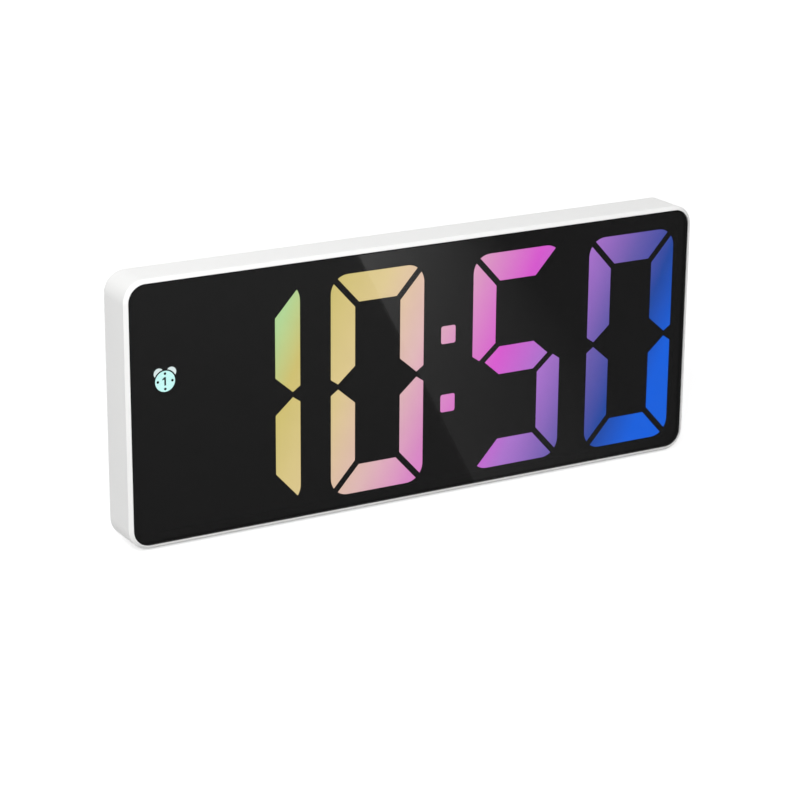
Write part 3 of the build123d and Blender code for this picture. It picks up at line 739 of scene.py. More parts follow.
class GeometryTree(Wiring):
    """A geometry node tree with named inputs, which ends in realised and painted geometry."""

    def __init__(self, name: str, inputs: dict[str, float | int]) -> None:
        """Args:
            name: Name of the tree.
            inputs: Named sizes and counts, with the values used.
        """
        super().__init__(bpy.data.node_groups.new(name, "GeometryNodeTree"))
        self.values: dict[str, Any] = {}
        interface = self.tree.interface
        interface.new_socket(name="Points", in_out="INPUT", socket_type="NodeSocketGeometry")
        for label, value in inputs.items():
            kind = "NodeSocketInt" if isinstance(value, int) else "NodeSocketFloat"
            socket = interface.new_socket(name=label, in_out="INPUT", socket_type=kind)
            self.values[socket.identifier] = value
        self.finish_socket = interface.new_socket(
            name="Finish", in_out="INPUT", socket_type="NodeSocketMaterial"
        ).identifier
        interface.new_socket(name="Geometry", in_out="OUTPUT", socket_type="NodeSocketGeometry")
        self.given = self.add("NodeGroupInput").outputs

    def vector(self, x: Any = 0.0, y: Any = 0.0, z: Any = 0.0) -> NodeSocket:
        """Three numbers as a vector."""
        return self.add("ShaderNodeCombineXYZ", {"X": x, "Y": y, "Z": z}).outputs[0]

    def moved(self, geometry: NodeSocket, offset: NodeSocket) -> NodeSocket:
        """Geometry shifted by an offset."""
        node = self.add("GeometryNodeTransform", {"Geometry": geometry, "Translation": offset})
        return node.outputs[0]

    def lifted(self, geometry: NodeSocket, height: NodeSocket, share: float) -> NodeSocket:
        """Geometry moved up by a share of a height."""
        return self.moved(geometry, self.vector(z=self.maths("MULTIPLY", height, share)))

    def drum(self, sides: NodeSocket, radius: NodeSocket, depth: NodeSocket) -> Node:
        """A round drum about the local Z axis."""
        return self.add("GeometryNodeMeshCylinder", {"Vertices": sides, "Radius": radius, "Depth": depth})

    def coil(self, path: dict[str, Any], wire: dict[str, Any]) -> NodeSocket:
        """A wire wound along a spiral.

        Args:
            path: Inputs of the spiral.
            wire: Inputs of the circle that is the wire's section.

        Returns:
            The coil's skin.
        """
        spiral = self.add("GeometryNodeCurveSpiral", path)
        section = self.add("GeometryNodeCurvePrimitiveCircle", wire, mode="RADIUS")
        curves = {"Curve": spiral.outputs[0], "Profile Curve": section.outputs[0], "Fill Caps": True}
        return self.add("GeometryNodeCurveToMesh", curves).outputs[0]

    def joined(self, *parts: NodeSocket) -> NodeSocket:
        """Several geometries as one."""
        node = self.add("GeometryNodeJoinGeometry")
        for part in parts:
            self.tree.links.new(part, node.inputs[0])
        return node.outputs[0]

    def spread(self, shape: NodeSocket, seed: int | None = None) -> NodeSocket:
        """Copies of a shape on the points, each facing where its point's own attribute says.

        Args:
            shape: The shape, standing along local Z.
            seed: Turns each copy about its own axis, where given.

        Returns:
            The instances.
        """
        ahead = self.add("GeometryNodeInputNamedAttribute", {"Name": "facing"}, data_type="FLOAT_VECTOR")
        aimed = self.add("FunctionNodeAlignRotationToVector", {"Vector": ahead.outputs[0]}, axis="Z")
        node = self.add(
            "GeometryNodeInstanceOnPoints",
            {"Points": self.given["Points"], "Instance": shape, "Rotation": aimed.outputs[0]},
        )
        if seed is None:
            return node.outputs[0]
        angle = self.add("FunctionNodeRandomValue", {3: 2 * math.pi, "Seed": seed}, data_type="FLOAT")
        spun = self.add(
            "GeometryNodeRotateInstances",
            {"Instances": node.outputs[0], "Rotation": self.vector(z=angle.outputs[1])},
        )
        return spun.outputs[0]

    def close(self, geometry: NodeSocket) -> None:
        """End the tree in realised geometry with its finish."""
        real = self.add("GeometryNodeRealizeInstances", {"Geometry": geometry})
        painted = self.add(
            "GeometryNodeSetMaterial", {"Geometry": real.outputs[0], "Material": self.given["Finish"]}
        )
        self.add("NodeGroupOutput", {"Geometry": painted.outputs[0]})

    def grow(self, points: Sequence[tuple[Vector, Vector]], material: Material) -> Mesh:
        """Run the tree on points and keep the result as a plain mesh.

        Args:
            points: Place and direction of each copy.
            material: The finish.

        Returns:
            The finished mesh.
        """
        seeds = bpy.data.meshes.new(self.tree.name)
        seeds.from_pydata([place for place, _ in points], [], [])
        ahead = seeds.attributes.new("facing", "FLOAT_VECTOR", "POINT")
        for row, (_, direction) in zip(ahead.data, points):
            row.vector = direction
        holder = bpy.data.objects.new(self.tree.name, seeds)
        bpy.context.scene.collection.objects.link(holder)
        modifier = holder.modifiers.new("tree", "NODES")
        modifier.node_group = self.tree
        for identifier, value in self.values.items():
            modifier[identifier] = value
        modifier[self.finish_socket] = material
        evaluated = holder.evaluated_get(bpy.context.evaluated_depsgraph_get())
        mesh = bpy.data.meshes.new_from_object(evaluated)
        holder.modifiers.clear()
        bpy.data.objects.remove(holder)
        bpy.data.meshes.remove(seeds)
        mesh.name = self.tree.name
        for attribute in [a.name for a in mesh.attributes if a.name == "facing"]:
            mesh.attributes.remove(mesh.attributes[attribute])
        return shade_mesh(mesh, ())


@dataclass
class FrontCase:
    """Front tray and lens, which stay as packed and get their finishes, and the tape behind the lens."""

    flat_cosine: float = 0.9
    tape_gap: float = 0.02 * MM

    def dress(self, nodes: Nodes, paint: Paint) -> None:
        """Blacken the lens edge, as its cut sides are printed over."""
        lens = nodes["front_lens"]
        lens.data.materials.append(paint.of(BLACK_EDGE))
        edge = len(lens.data.materials) - 1
        for face in lens.data.polygons:
            if abs(face.normal.y) < self.flat_cosine:
                face.material_index = edge
        LOG.info("front_lens: edge blackened")

    def build(self, nodes: Nodes, paint: Paint) -> None:
        """Set the tape a hair behind the lens, whose back face then mirrors all the way to its edge."""
        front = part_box("lens_tape")[0].y + self.tape_gap
        shaper = Shaper()
        shaper.mesh.from_mesh(nodes["lens_tape"].data)
        for vertex in shaper.mesh.verts:
            vertex.co.y = max(vertex.co.y, front)
        mesh = shaper.finish("lens_tape_ring", (paint.of(TAPE),))
        place_piece("lens_tape_ring", mesh, Body.CASE, ("lens_tape",))


@dataclass
class Display:
    """Lit windows and the printed alarm icon."""

    face_radius: float = 2.6 * MM
    dot_circle: float = 0.73
    dot_radius: float = 0.33 * MM
    figure_height: float = 2.1 * MM
    figure_stroke: float = 0.44 * MM
    ink_height: float = 0.02 * MM
    lead_left: float = 0.6 * MM
    lead_top: float = 0.3 * MM
    bell_start: float = 1.01
    flag_reach: float = 3.2
    flag_top: float = 1.6
    flag_foot: float = 3.4
    flag_root: float = 2.4

    def dress(self, nodes: Nodes, paint: Paint) -> None:
        """Light the windows that show the time, and the icon."""
        lens_low, lens_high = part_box("front_lens")
        start = (lens_low.x + self.lead_left, lens_high.z - self.lead_top)
        rainbow = GlowFilm("window_rainbow", RAINBOW, 1 / LENS_CLEARNESS, start=start)
        ice = GlowFilm("window_ice", ICE, 1 / LENS_CLEARNESS, start=start)
        frost = GlowFilm("window_frost", FROST, 1 / LENS_CLEARNESS, start=start)
        for name, node in nodes.items():
            if name.endswith("_lit_windows") or name == "colon_windows":
                node.data.materials[0] = paint.of(rainbow)
            elif name == "alarm_icon_windows":
                node.data.materials[0] = paint.of(ice)
                node.data.materials.append(paint.of(frost))
                self._mark_bells(node)

    def _icon_middle(self) -> Vector:
        """Middle of the icon's round face, on its front."""
        low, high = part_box("alarm_icon_windows")
        return Vector(((low.x + high.x) / 2, low.y, low.z + self.face_radius))

    def _mark_bells(self, icon: Object) -> None:
        """Give the bells, which lie outside the round face, the second finish."""
        centre = self._icon_middle()
        for face in icon.data.polygons:
            away = face.center - centre
            if math.hypot(away.x, away.z) > self.bell_start * self.face_radius:
                face.material_index = 1

    def build(self, paint: Paint) -> None:
        """Print the four hour dots and the figure on the icon."""
        centre = self._icon_middle()
        ink = paint.of(INK)
        place_piece("icon_hour_dots", self._dots(centre, ink), Body.CASE)
        shaper = Shaper()
        tall, wide = self.figure_height / 2, self.figure_stroke / 2
        flag = -self.flag_reach * wide
        figure = [(-wide, -tall), (wide, -tall), (wide, tall), (-wide / 2, tall)]
        figure += [(flag, tall - self.flag_top * wide), (flag, tall - self.flag_foot * wide)]
        figure.append((-wide, tall - self.flag_root * wide))
        shaper.raise_mark(figure, facing((0, -1, 0), centre), self.ink_height, self.ink_height / 4)
        place_piece("icon_figure", shaper.finish("icon_figure", (ink,)), Body.CASE)

    def _dots(self, centre: Vector, ink: Material) -> Mesh:
        """Four low round dots on a circle about the icon's middle."""
        tree = GeometryTree(
            "icon_hour_dots",
            {"Dot Radius": self.dot_radius, "Dot Height": self.ink_height, "Dot Sides": 20},
        )
        given = tree.given
        dot = tree.drum(given["Dot Sides"], given["Dot Radius"], given["Dot Height"])
        tree.close(tree.spread(tree.lifted(dot.outputs["Mesh"], given["Dot Height"], 0.5)))
        reach = self.dot_circle * self.face_radius
        front = Vector((0.0, -1.0, 0.0))
        corners = ((0, 1), (1, 0), (0, -1), (-1, 0))
        return tree.grow([(centre + Vector((x * reach, 0.0, z * reach)), front) for x, z in corners], ink)


@dataclass
class Screws:
    """Pan-head screws with a cross recess and a cut thread."""

    head_height: float = 1.2 * MM
    head_radius: float = 1.9 * MM
    core_share: float = 0.78
    thread_pitch: float = 0.8 * MM
    recess_reach: float = 2.1 * MM
    recess_width: float = 0.5 * MM
    recess_depth: float = 0.75 * MM
    shank_radius: float = 0.9 * MM
    sides: int = 36
    base_share: float = 0.45
    crown: tuple[Point, ...] = ((0.3, 0.93), (0.17, 0.86), (0.08, 0.7))
    thread_share: float = 0.86
    thread_drop: float = 0.95
    turn_seed: int = 5

    def build(self, nodes: Nodes, paint: Paint) -> None:
        """Make both sets of screws in place of their plain solids."""
        for name, outward in (("cover_screws", 1.0), ("power_board_screws", -1.0)):
            boxes = islands(nodes[name])
            length = boxes[0][1].y - boxes[0][0].y - self.head_height
            tree = self._tree(name, length)
            ahead = Vector((0.0, outward, 0.0))
            points = []
            for low, high in boxes:
                seat = high.y - self.head_height if outward > 0 else low.y + self.head_height
                points.append((Vector(((low.x + high.x) / 2, seat, (low.z + high.z) / 2)), ahead))
            mesh = tree.grow(points, paint.of(STEEL))
            place_piece(f"{name}_threaded", mesh, Body.CASE, (name,))

    def _tree(self, name: str, length: float) -> GeometryTree:
        """The node tree of one screw, standing on its seat with the head up.

        Args:
            name: Name of the tree.
            length: Length of the shank below the seat.

        Returns:
            The closed tree.
        """
        tree = GeometryTree(
            name,
            {
                "Head Radius": self.head_radius,
                "Head Height": self.head_height,
                "Recess Reach": self.recess_reach,
                "Recess Width": self.recess_width,
                "Recess Depth": self.recess_depth,
                "Core Radius": self.shank_radius * self.core_share,
                "Thread Radius": self.shank_radius,
                "Shank Length": length,
                "Thread Turns": length / self.thread_pitch - 1.0,
                "Sides": self.sides,
            },
        )
        given = tree.given
        head = self._head(tree)
        bars = []
        deep = tree.maths("MULTIPLY", given["Recess Depth"], 2.0)
        for along, across in (("Recess Reach", "Recess Width"), ("Recess Width", "Recess Reach")):
            size = tree.vector(given[along], given[across], deep)
            bar = tree.add("GeometryNodeMeshCube", {"Size": size})
            bars.append(tree.moved(bar.outputs["Mesh"], tree.vector(z=given["Head Height"])))
        cut = tree.add("GeometryNodeMeshBoolean", {"Mesh 1": head}, operation="DIFFERENCE")
        for bar in bars:
            tree.tree.links.new(bar, cut.inputs["Mesh 2"])
        core = tree.drum(given["Sides"], given["Core Radius"], given["Shank Length"])
        shank = tree.lifted(core.outputs["Mesh"], given["Shank Length"], -0.5)
        whole = tree.joined(cut.outputs["Mesh"], shank, self._thread(tree))
        tree.close(tree.spread(whole, seed=self.turn_seed))
        return tree

    def _head(self, tree: GeometryTree) -> NodeSocket:
        """A low head whose crown draws in over three steps."""
        given = tree.given
        base = tree.maths("MULTIPLY", given["Head Height"], self.base_share)
        drum = tree.drum(given["Sides"], given["Head Radius"], base)
        shape = tree.lifted(drum.outputs["Mesh"], base, 0.5)
        top = drum.outputs["Top"]
        for rise, draw in self.crown:
            height = tree.maths("MULTIPLY", given["Head Height"], rise)
            step = tree.add(
                "GeometryNodeExtrudeMesh",
                {"Mesh": shape, "Selection": top, "Offset Scale": height},
                mode="FACES",
            )
            top = step.outputs["Top"]
            drawn = tree.add(
                "GeometryNodeScaleElements",
                {"Geometry": step.outputs["Mesh"], "Selection": top, "Scale": draw},
                domain="FACE",
            )
            shape = drawn.outputs["Geometry"]
        return shape

    def _thread(self, tree: GeometryTree) -> NodeSocket:
        """A ridge that winds down the shank."""
        given = tree.given
        depth = tree.maths("SUBTRACT", given["Thread Radius"], given["Core Radius"])
        path = {
            "Resolution": 18,
            "Rotations": given["Thread Turns"],
            "Start Radius": given["Core Radius"],
            "End Radius": given["Core Radius"],
            "Height": tree.maths("MULTIPLY", given["Shank Length"], self.thread_share),
        }
        ridge = tree.coil(path, {"Resolution": 4, "Radius": depth})
        return tree.lifted(ridge, given["Shank Length"], -self.thread_drop)


@dataclass
class Keys:
    """The four caps on the back and the signs moulded above them."""

    flange_width: float = 1.0 * MM
    flange: float = 0.6 * MM
    edge: float = 0.55 * MM
    dish_inset: float = 1.5 * MM
    dish_depth: float = 0.25 * MM
    sign_size: float = 2.8 * MM
    sign_height: float = 0.18 * MM
    sign_edge: float = 0.05 * MM
    sign_rise: float = 3.6 * MM
    ring_outer: float = 0.5
    ring_inner: float = 0.38
    ring_steps: int = 40
    plate_setback: float = 0.15 * MM

    def build(self, paint: Paint) -> None:
        """Make each cap on its own body, and all signs on the cover."""
        signs = Shaper()
        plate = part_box("front_housing")[1].y - self.plate_setback
        drawn = {
            "mode": (Body.MODE_KEY, self._clock_sign),
            "set": (Body.SET_KEY, self._bars_sign),
            "up": (Body.UP_KEY, self._up_sign),
            "down": (Body.DOWN_KEY, self._down_sign),
        }
        for name, (body, sign) in drawn.items():
            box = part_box(f"{name}_button")
            mesh = self._cap(box, paint)
            place_piece(f"{name}_cap", mesh, body, (f"{name}_button",))
            stem_top = box[1].z - self.flange_width
            sign(signs, facing((0, 1, 0), Vector((middle(box).x, plate, stem_top + self.sign_rise))))
        mesh = signs.finish("key_signs", (paint.of(WHITE_SHELL),))
        place_piece("key_signs", mesh, Body.CASE)

    def _cap(self, box: Box, paint: Paint) -> Mesh:
        """One slot-shaped cap with a flange, a rounded edge and a shallow dish."""
        low, high = box
        length = high.x - low.x - 2 * self.flange_width
        height = high.z - low.z - 2 * self.flange_width
        levels = [(-self.flange_width, low.y), (-self.flange_width, low.y + self.flange)]
        levels += [(0.0, low.y + self.flange), (0.0, high.y - self.edge)]
        for angle in (22.5, 45.0, 67.5, 90.0):
            turn = math.radians(angle)
            levels.append((self.edge * (1 - math.cos(turn)), high.y - self.edge * (1 - math.sin(turn))))
        for share in (0.3, 0.6, 1.0):
            inset = self.edge + share * (self.dish_inset - self.edge)
            levels.append((inset, high.y - self.dish_depth * math.sin(share * math.pi / 2)))
        centre = middle(box)
        loops = []
        for inset, depth in levels:
            outline = slot_outline(length - 2 * inset, height - 2 * inset)
            loops.append([Vector((centre.x + x, depth, centre.z + z)) for x, z in outline])
        shaper = Shaper()
        shaper.skin(loops)
        return shaper.finish("key_cap", (paint.of(WHITE_KEY),))

    def _mark(self, shaper: Shaper, outline: Sequence[Point], place: Matrix) -> None:
        """Raise one sign from an outline given in shares of the sign's size."""
        sized = [(self.sign_size * x, self.sign_size * y) for x, y in outline]
        shaper.raise_mark(sized, place, self.sign_height, self.sign_edge)

    def _clock_sign(self, shaper: Shaper, place: Matrix) -> None:
        """A ring with two hands."""
        outer, inner = self.ring_outer * self.sign_size, self.ring_inner * self.sign_size
        top = self.sign_height
        profile = [(outer, 0.0), (outer, top - self.sign_edge), (outer - self.sign_edge, top)]
        profile += [(inner + self.sign_edge, top), (inner, top - self.sign_edge), (inner, 0.0)]
        shaper.turn(profile, place, self.ring_steps, closed=True)
        hands = [(-0.06, -0.06), (0.24, -0.06), (0.24, 0.06), (0.06, 0.06), (0.06, 0.28), (-0.06, 0.28)]
        self._mark(shaper, hands, place)

    def _bars_sign(self, shaper: Shaper, place: Matrix) -> None:
        """Three level bars."""
        for level in (-0.34, 0.0, 0.34):
            bar = [(-0.5, level - 0.07), (0.5, level - 0.07), (0.5, level + 0.07), (-0.5, level + 0.07)]
            self._mark(shaper, bar, place)

    def _up_sign(self, shaper: Shaper, place: Matrix) -> None:
        """A triangle that points up."""
        self._mark(shaper, ((-0.5, -0.4), (0.5, -0.4), (0.0, 0.46)), place)

    def _down_sign(self, shaper: Shaper, place: Matrix) -> None:
        """A triangle that points down."""
        self._mark(shaper, ((-0.5, 0.4), (0.0, -0.46), (0.5, 0.4)), place)


@dataclass
class BatteryBay:
    """Cells, coned springs and the arrow on the sliding door."""

    nub_radius: float = 1.9 * MM
    nub_length: float = 0.9 * MM
    sleeve_lip: float = 0.45 * MM
    band_start: float = 0.66
    band_end: float = 0.82
    cell_steps: int = 56
    wire_radius: float = 0.33 * MM
    foot_radius: float = 3.2 * MM
    tip_radius: float = 2.1 * MM
    turns: float = 3.0
    arrow_length: float = 6.0 * MM
    arrow_half: float = 3.2 * MM
    arrow_inset: float = 9.0 * MM
    arrow_height: float = 0.18 * MM

    def build(self, nodes: Nodes, paint: Paint) -> None:
        """Make the cells, the springs and the door's arrow."""
        cells = sorted(islands(nodes["battery_cells"]), key=lambda box: box[0].z)
        shaper = Shaper()
        for row, box in enumerate(cells):
            self._cell(shaper, box, 1.0 if row % 2 else -1.0)
        finishes = [paint.of(f) for f in (SLEEVE, SLEEVE_BAND, INSULATOR, CELL_CAP)]
        mesh = shaper.finish("cells_sleeved", finishes)
        place_piece("cells_sleeved", mesh, Body.CASE, ("battery_cells",))
        self._springs(nodes, paint)
        self._arrow(paint)

    def _cell(self, shaper: Shaper, box: Box, side: float) -> None:
        """One sleeved cell, from its flat end to its nub."""
        low, high = box
        length = high.x - low.x
        radius = (high.z - low.z) / 2
        body = length - self.nub_length
        lip = self.sleeve_lip
        sleeve, band, ring, cap = range(4)
        outline = [
            (0.3 * radius, 0.35 * lip, cap),
            (0.6 * radius, 0.0, cap),
            (radius - 2.0 * lip, 0.0, cap),
            (radius - 1.8 * lip, 0.4 * lip, sleeve),
            (radius - lip, 0.0, sleeve),
            (radius - 0.3 * lip, 0.3 * lip, sleeve),
            (radius, lip, sleeve),
            (radius, self.band_start * body, band),
            (radius, self.band_end * body, sleeve),
            (radius, body - lip, sleeve),
            (radius - 0.3 * lip, body - 0.3 * lip, sleeve),
            (radius - lip, body, sleeve),
            (radius - 1.8 * lip, body - 0.3 * lip, ring),
            (1.4 * self.nub_radius, body - 0.3 * lip, cap),
            (self.nub_radius, body, cap),
            (self.nub_radius, length - 0.4 * lip, cap),
            (self.nub_radius - 0.4 * lip, length, cap),
            (0.3 * self.nub_radius, length, cap),
        ]
        start = Vector((low.x if side > 0 else high.x, middle(box).y, middle(box).z))
        place = facing((side, 0, 0), start)
        profile = [(r, h) for r, h, _ in outline]
        shaper.turn(profile, place, self.cell_steps, [b for _, _, b in outline])

    def _springs(self, nodes: Nodes, paint: Paint) -> None:
        """Round-wire coned coils in place of the plain coils."""
        boxes = sorted(islands(nodes["contact_springs"]), key=lambda box: box[0].z)
        length = boxes[0][1].x - boxes[0][0].x - 2 * self.wire_radius
        tree = GeometryTree(
            "contact_coils",
            {
                "Foot Radius": self.foot_radius,
                "Tip Radius": self.tip_radius,
                "Coil Length": length,
                "Turns": self.turns,
                "Wire Radius": self.wire_radius,
                "Steps Per Turn": 40,
                "Wire Sides": 12,
            },
        )
        given = tree.given
        path = {
            "Resolution": given["Steps Per Turn"],
            "Rotations": given["Turns"],
            "Start Radius": given["Foot Radius"],
            "End Radius": given["Tip Radius"],
            "Height": given["Coil Length"],
        }
        wire = {"Resolution": given["Wire Sides"], "Radius": given["Wire Radius"]}
        tree.close(tree.spread(tree.coil(path, wire)))
        points = []
        for row, (low, high) in enumerate(boxes):
            side = 1.0 if row % 2 else -1.0
            foot = low.x + self.wire_radius if side > 0 else high.x - self.wire_radius
            centre = middle((low, high))
            points.append((Vector((foot, centre.y, centre.z)), Vector((side, 0.0, 0.0))))
        mesh = tree.grow(points, paint.of(NICKEL))
        place_piece("contact_coils", mesh, Body.CASE, ("contact_springs",))

    def _arrow(self, paint: Paint) -> None:
        """An arrow on the door that shows which way it slides."""
        low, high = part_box("battery_door")
        tip = self.arrow_length / 2
        stem = self.arrow_half / 3
        outline = [(tip, 0.0), (0.0, self.arrow_half), (0.0, stem), (-tip, stem)]
        outline += [(-tip, -stem), (0.0, -stem), (0.0, -self.arrow_half)]
        place = facing((0, 1, 0), Vector((low.x + self.arrow_inset, high.y, (low.z + high.z) / 2)))
        shaper = Shaper()
        shaper.raise_mark(outline[::-1], place, self.arrow_height, self.arrow_height / 3)
        mesh = shaper.finish("door_arrow", (paint.of(WHITE_SHELL),))
        place_piece("door_arrow", mesh, Body.DOOR)


@dataclass
class PowerInlet:
    """Gold contact strips on the tongue of the power socket."""

    count: int = 12
    pitch: float = 0.5 * MM
    width: float = 0.28 * MM
    length: float = 4.4 * MM
    proud: float = 0.04 * MM

    def build(self, paint: Paint) -> None:
        """Lay a row of strips on both faces of the tongue."""
        low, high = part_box("usb_socket_tongue")
        tree = GeometryTree(
            "socket_strips",
            {
                "Strips": self.count,
                "Pitch": self.pitch,
                "Strip Width": self.width,
                "Strip Length": self.length,
                "Strip Proud": self.proud,
            },
        )
        given = tree.given
        row_length = tree.maths("MULTIPLY", tree.maths("SUBTRACT", given["Strips"], 1.0), given["Pitch"])
        row = tree.add(
            "GeometryNodeMeshLine",
            {
                "Count": given["Strips"],
                "Start Location": tree.vector(x=tree.maths("MULTIPLY", row_length, -0.5)),
                "Offset": tree.vector(x=given["Pitch"]),
            },
        )
        size = tree.vector(given["Strip Width"], given["Strip Length"], given["Strip Proud"])
        strip = tree.add("GeometryNodeMeshCube", {"Size": size})
        laid = tree.add(
            "GeometryNodeInstanceOnPoints", {"Points": row.outputs[0], "Instance": strip.outputs["Mesh"]}
        )
        real = tree.add("GeometryNodeRealizeInstances", {"Geometry": laid.outputs[0]})
        tree.close(tree.spread(tree.lifted(real.outputs[0], given["Strip Proud"], 0.5)))
        centre = middle((low, high))
        reach = high.y - self.length / 2 - self.proud
        points = []
        for level, side in ((high.z, 1.0), (low.z, -1.0)):
            points.append((Vector((centre.x, reach, level)), Vector((0.0, 0.0, side))))
        mesh = tree.grow(points, paint.of(GOLD))
        place_piece("socket_strips", mesh, Body.CASE)


@dataclass
class Feet:
    """Round rubber feet with a soft rim and a shallow sole."""

    rim: float = 0.3 * MM
    hub_share: float = 0.2
    sole_share: float = 0.7
    sole_depth: float = 0.15 * MM
    steps: int = 48

    def build(self, nodes: Nodes, paint: Paint) -> None:
        """Turn each foot in place of its plain solid."""
        shaper = Shaper()
        for box in islands(nodes["rubber_feet"]):
            low, high = box
            radius = (high.x - low.x) / 2
            height = high.z - low.z
            hub, sole = self.hub_share * radius, self.sole_share * radius
            profile = [(hub, self.sole_depth), (sole - self.rim, self.sole_depth), (sole, 0.0)]
            for angle in (0.0, 30.0, 60.0, 90.0):
                turn = math.radians(angle)
                profile.append((radius - self.rim * (1 - math.sin(turn)), self.rim * (1 - math.cos(turn))))
            profile += [(radius, height), (hub, height)]
            centre = middle(box)
            shaper.turn(profile, Matrix.Translation((centre.x, centre.y, low.z)), self.steps)
        mesh = shaper.finish("feet_soft", (paint.of(RUBBER),))
        place_piece("feet_soft", mesh, Body.CASE, ("rubber_feet",))


@dataclass(frozen=True)
class Softbox:
    """One square soft lamp."""

    name: str
    place: tuple[float, float, float]
    target: tuple[float, float, float]
    side: float
    power: float
    mirrored: bool = True

    def build(self) -> None:
        """Hang the lamp and aim it."""
        lamp = bpy.data.lights.new(self.name, "AREA")
        lamp.shape = "SQUARE"
        lamp.size = self.side
        lamp.energy = self.power
        holder = bpy.data.objects.new(self.name, lamp)
        holder.location = self.place
        away = Vector(self.target) - Vector(self.place)
        holder.rotation_euler = away.to_track_quat("-Z", "Y").to_euler()
        holder.visible_glossy = self.mirrored
        bpy.context.scene.collection.objects.link(holder)


@dataclass(frozen=True)
class FloorCard:
    """A card in front of the clock that reflections and rays through glass see, but the camera doesn't.

    A slanted edge divides it. Left of the edge it is dark, and right of it a glow fades away,
    which gives the lens the slanted sheen of the photograph.
    """

    near: Point = (17.1 * MM, -14.8 * MM)
    far: Point = (102.4 * MM, -227.1 * MM)
    left: float = -500 * MM
    right: float = 700 * MM
    front: float = -900 * MM
    back: float = -14 * MM
    level: float = 1 * MM
    fade: float = 57 * MM
    dark_near: float = 0.20
    dark_far: float = 0.28
    rest: float = 0.18
    glow_near: float = 0.16
    glow_far: float = 0.76

    def build(self) -> None:
        """Lay the card on the floor and hide it from the camera, from diffuse light and from shadows."""
        mesh = flat_sheet("floor_card", (self.left, self.front), (self.right, self.back), self.level)
        mesh.materials.append(self._material())
        card = bpy.data.objects.new("floor_card", mesh)
        card.visible_camera = False
        card.visible_diffuse = False
        card.visible_shadow = False
        bpy.context.scene.collection.objects.link(card)

    def _material(self) -> Material:
        """Its brightness on both sides of the edge."""
        plain = {"Base Color": BLACK, "Specular IOR Level": 0.0, "Emission Color": WHITE}
        surface = Surface("floor_card", plain)
        place = surface.place()
        axes = surface.add("ShaderNodeSeparateXYZ", {0: place}).outputs
        slope = (self.far[0] - self.near[0]) / (self.far[1] - self.near[1])
        shifted = surface.sum_of(axes["X"], 1.0, slope * self.near[1] - self.near[0])
        beside = surface.sum_of(axes["Y"], -slope, shifted)
        away = surface.reach(axes["Y"], self.near[1], self.far[1])
        falling = surface.add(
            "ShaderNodeMapRange", {"Value": beside, "From Max": self.fade, "To Min": 1.0, "To Max": 0.0}
        ).outputs["Result"]
        strong = surface.span(self.glow_near, self.glow_far, surface.sum_of(away, away, 0.0))
        glow = surface.sum_of(strong, falling, self.rest)
        beyond = surface.maths("GREATER_THAN", beside, 0.0)
        mix = surface.add(
            "ShaderNodeMix", {0: beyond, 2: surface.span(self.dark_near, self.dark_far, away), 3: glow}
        )
        surface.set("Emission Strength", mix.outputs[0])
        return surface.material


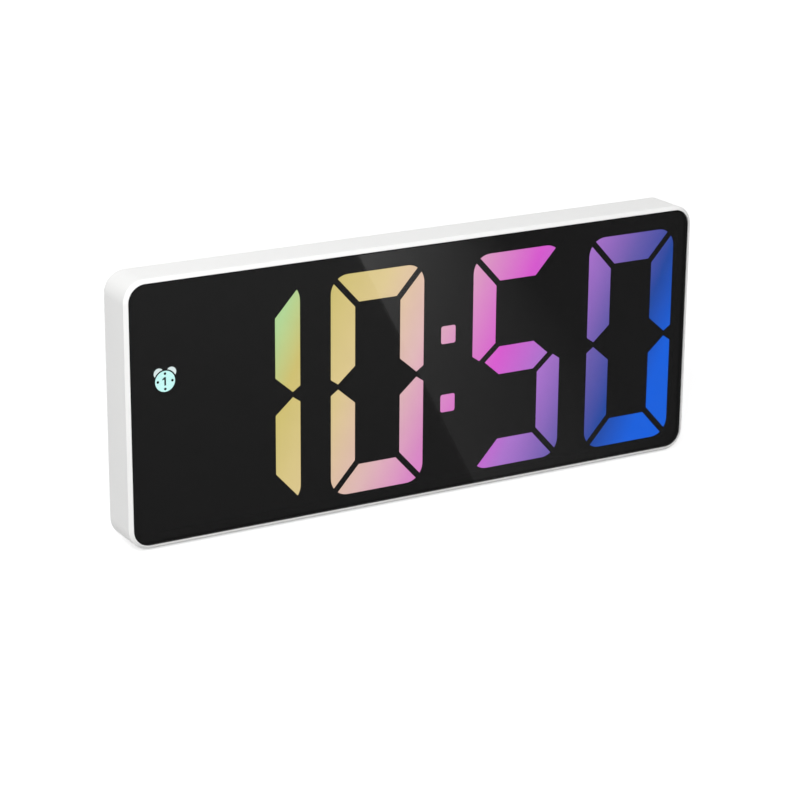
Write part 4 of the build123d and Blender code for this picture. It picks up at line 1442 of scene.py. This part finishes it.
@dataclass
class Studio:
    """Camera, pale floor, soft lamps and white surround."""

    lens: float = 116.99
    sensor: float = 36.0
    station: tuple[float, float, float] = (-0.3184, -0.5452, 0.227)
    azimuth: float = 30.31
    elevation: float = -17.9
    roll: float = 0.457
    ambient: float = 0.3
    floor_side: float = 8.0
    floor_shades: tuple[str, str] = ("b6b6b6", "bababa")
    floor_grain: float = 2 * MM
    floor_mottle: float = 300 * MM
    near_lift: float = 0.7
    far_lift: float = 0.95
    lift_start: float = 0.15
    lift_end: float = 0.7
    lamps: tuple[Softbox, ...] = (
        Softbox("key", (-0.386, -0.554, 0.531), (0.0, 0.0, 0.035), 0.4, 5.8, mirrored=False),
        Softbox("overhead", (-0.2, 0.0, 0.4), (-0.05, 0.0, 0.035), 0.25, 0.16),
        Softbox("back_fill", (0.3, 1.0, 0.2), (0.0, 0.0, 0.035), 0.35, 5.0, mirrored=False),
    )

    def build(self) -> None:
        """Set up everything around the object."""
        bpy.context.scene.view_settings.view_transform = "Standard"
        self._camera()
        self._floor()
        self._surround()
        FloorCard().build()
        for lamp in self.lamps:
            lamp.build()

    def _camera(self) -> None:
        """The photograph's station and direction."""
        turn, climb, tilt = (math.radians(a) for a in (self.azimuth, self.elevation, self.roll))
        ahead = Vector((math.sin(turn) * math.cos(climb), math.cos(turn) * math.cos(climb), math.sin(climb)))
        level = Vector((math.cos(turn), -math.sin(turn), 0.0))
        upright = level.cross(ahead)
        right = math.cos(tilt) * level + math.sin(tilt) * upright
        above = math.cos(tilt) * upright - math.sin(tilt) * level
        camera = bpy.data.cameras.new("camera")
        camera.lens = self.lens
        camera.sensor_width = self.sensor
        holder = bpy.data.objects.new("camera", camera)
        axes = Matrix((right, above, -ahead)).transposed().to_4x4()
        holder.matrix_world = Matrix.Translation(self.station) @ axes
        bpy.context.scene.collection.objects.link(holder)
        bpy.context.scene.camera = holder

    @staticmethod
    def _seen(wiring: Wiring) -> NodeSocket:
        """One for camera, glossy and transmitted rays, and nought for the rest."""
        path = wiring.add("ShaderNodeLightPath").outputs
        seen = path["Is Camera Ray"]
        for kind in ("Is Glossy Ray", "Is Transmission Ray"):
            seen = wiring.maths("MAXIMUM", seen, path[kind])
        return seen

    def _floor(self) -> None:
        """A pale floor that shows the shadow and reads as white elsewhere."""
        half = self.floor_side / 2
        mesh = flat_sheet("floor", (-half, -half), (half, half))
        surface = Surface("floor_pale", {"Roughness": 1.0, "Specular IOR Level": 0.0})
        sizes = {"Grain Size": self.floor_grain, "Mottle Size": self.floor_mottle}
        mottle = surface.effect(Effect.GRAIN, sizes).outputs["Mottle"]
        low, high = (shade(code) for code in self.floor_shades)
        surface.set("Base Color", surface.blend(low, high, mottle))
        place = surface.place()
        away = surface.add("ShaderNodeVectorMath", {0: place}, operation="LENGTH").outputs["Value"]
        far = surface.reach(away, self.lift_start, self.lift_end)
        lift = surface.span(self.near_lift, self.far_lift, far)
        surface.set("Emission Strength", surface.sum_of(self._seen(surface), lift, 0.0))
        surface.set("Emission Color", WHITE)
        mesh.materials.append(surface.material)
        floor = bpy.data.objects.new("floor", mesh)
        bpy.context.scene.collection.objects.link(floor)

    def _surround(self) -> None:
        """White to the eye, softer as a light."""
        world = bpy.data.worlds.new("surround")
        world.use_nodes = True
        wiring = Wiring(world.node_tree)
        background = world.node_tree.nodes["Background"]
        background.inputs["Color"].default_value = WHITE
        strength = wiring.sum_of(self._seen(wiring), 1.0 - self.ambient, self.ambient)
        wiring.feed(background.inputs["Strength"], strength)
        bpy.context.scene.world = world


def dress_nodes(nodes: Nodes, paint: Paint) -> None:
    """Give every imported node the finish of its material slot."""
    for name, node in nodes.items():
        slot = node.data.materials[0].name
        if slot in SLOT_FINISHES:
            node.data.materials[0] = paint.of(SLOT_FINISHES[slot])
            LOG.info("%s: %s", name, SLOT_FINISHES[slot].name)


def clear_scene() -> None:
    """Remove the objects of the start-up scene."""
    for thing in list(bpy.data.objects):
        bpy.data.objects.remove(thing)


def main() -> None:
    """Load the frame, dress it and set up the studio."""
    logging.basicConfig(level=logging.INFO, format="%(name)s: %(message)s")
    clear_scene()
    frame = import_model()
    nodes = frame["nodes"]
    paint = Paint()
    dress_nodes(nodes, paint)
    front = FrontCase()
    front.dress(nodes, paint)
    front.build(nodes, paint)
    display = Display()
    display.dress(nodes, paint)
    display.build(paint)
    Screws().build(nodes, paint)
    Keys().build(paint)
    BatteryBay().build(nodes, paint)
    PowerInlet().build(paint)
    Feet().build(nodes, paint)
    Studio().build()


if __name__ == "__main__":
    main()
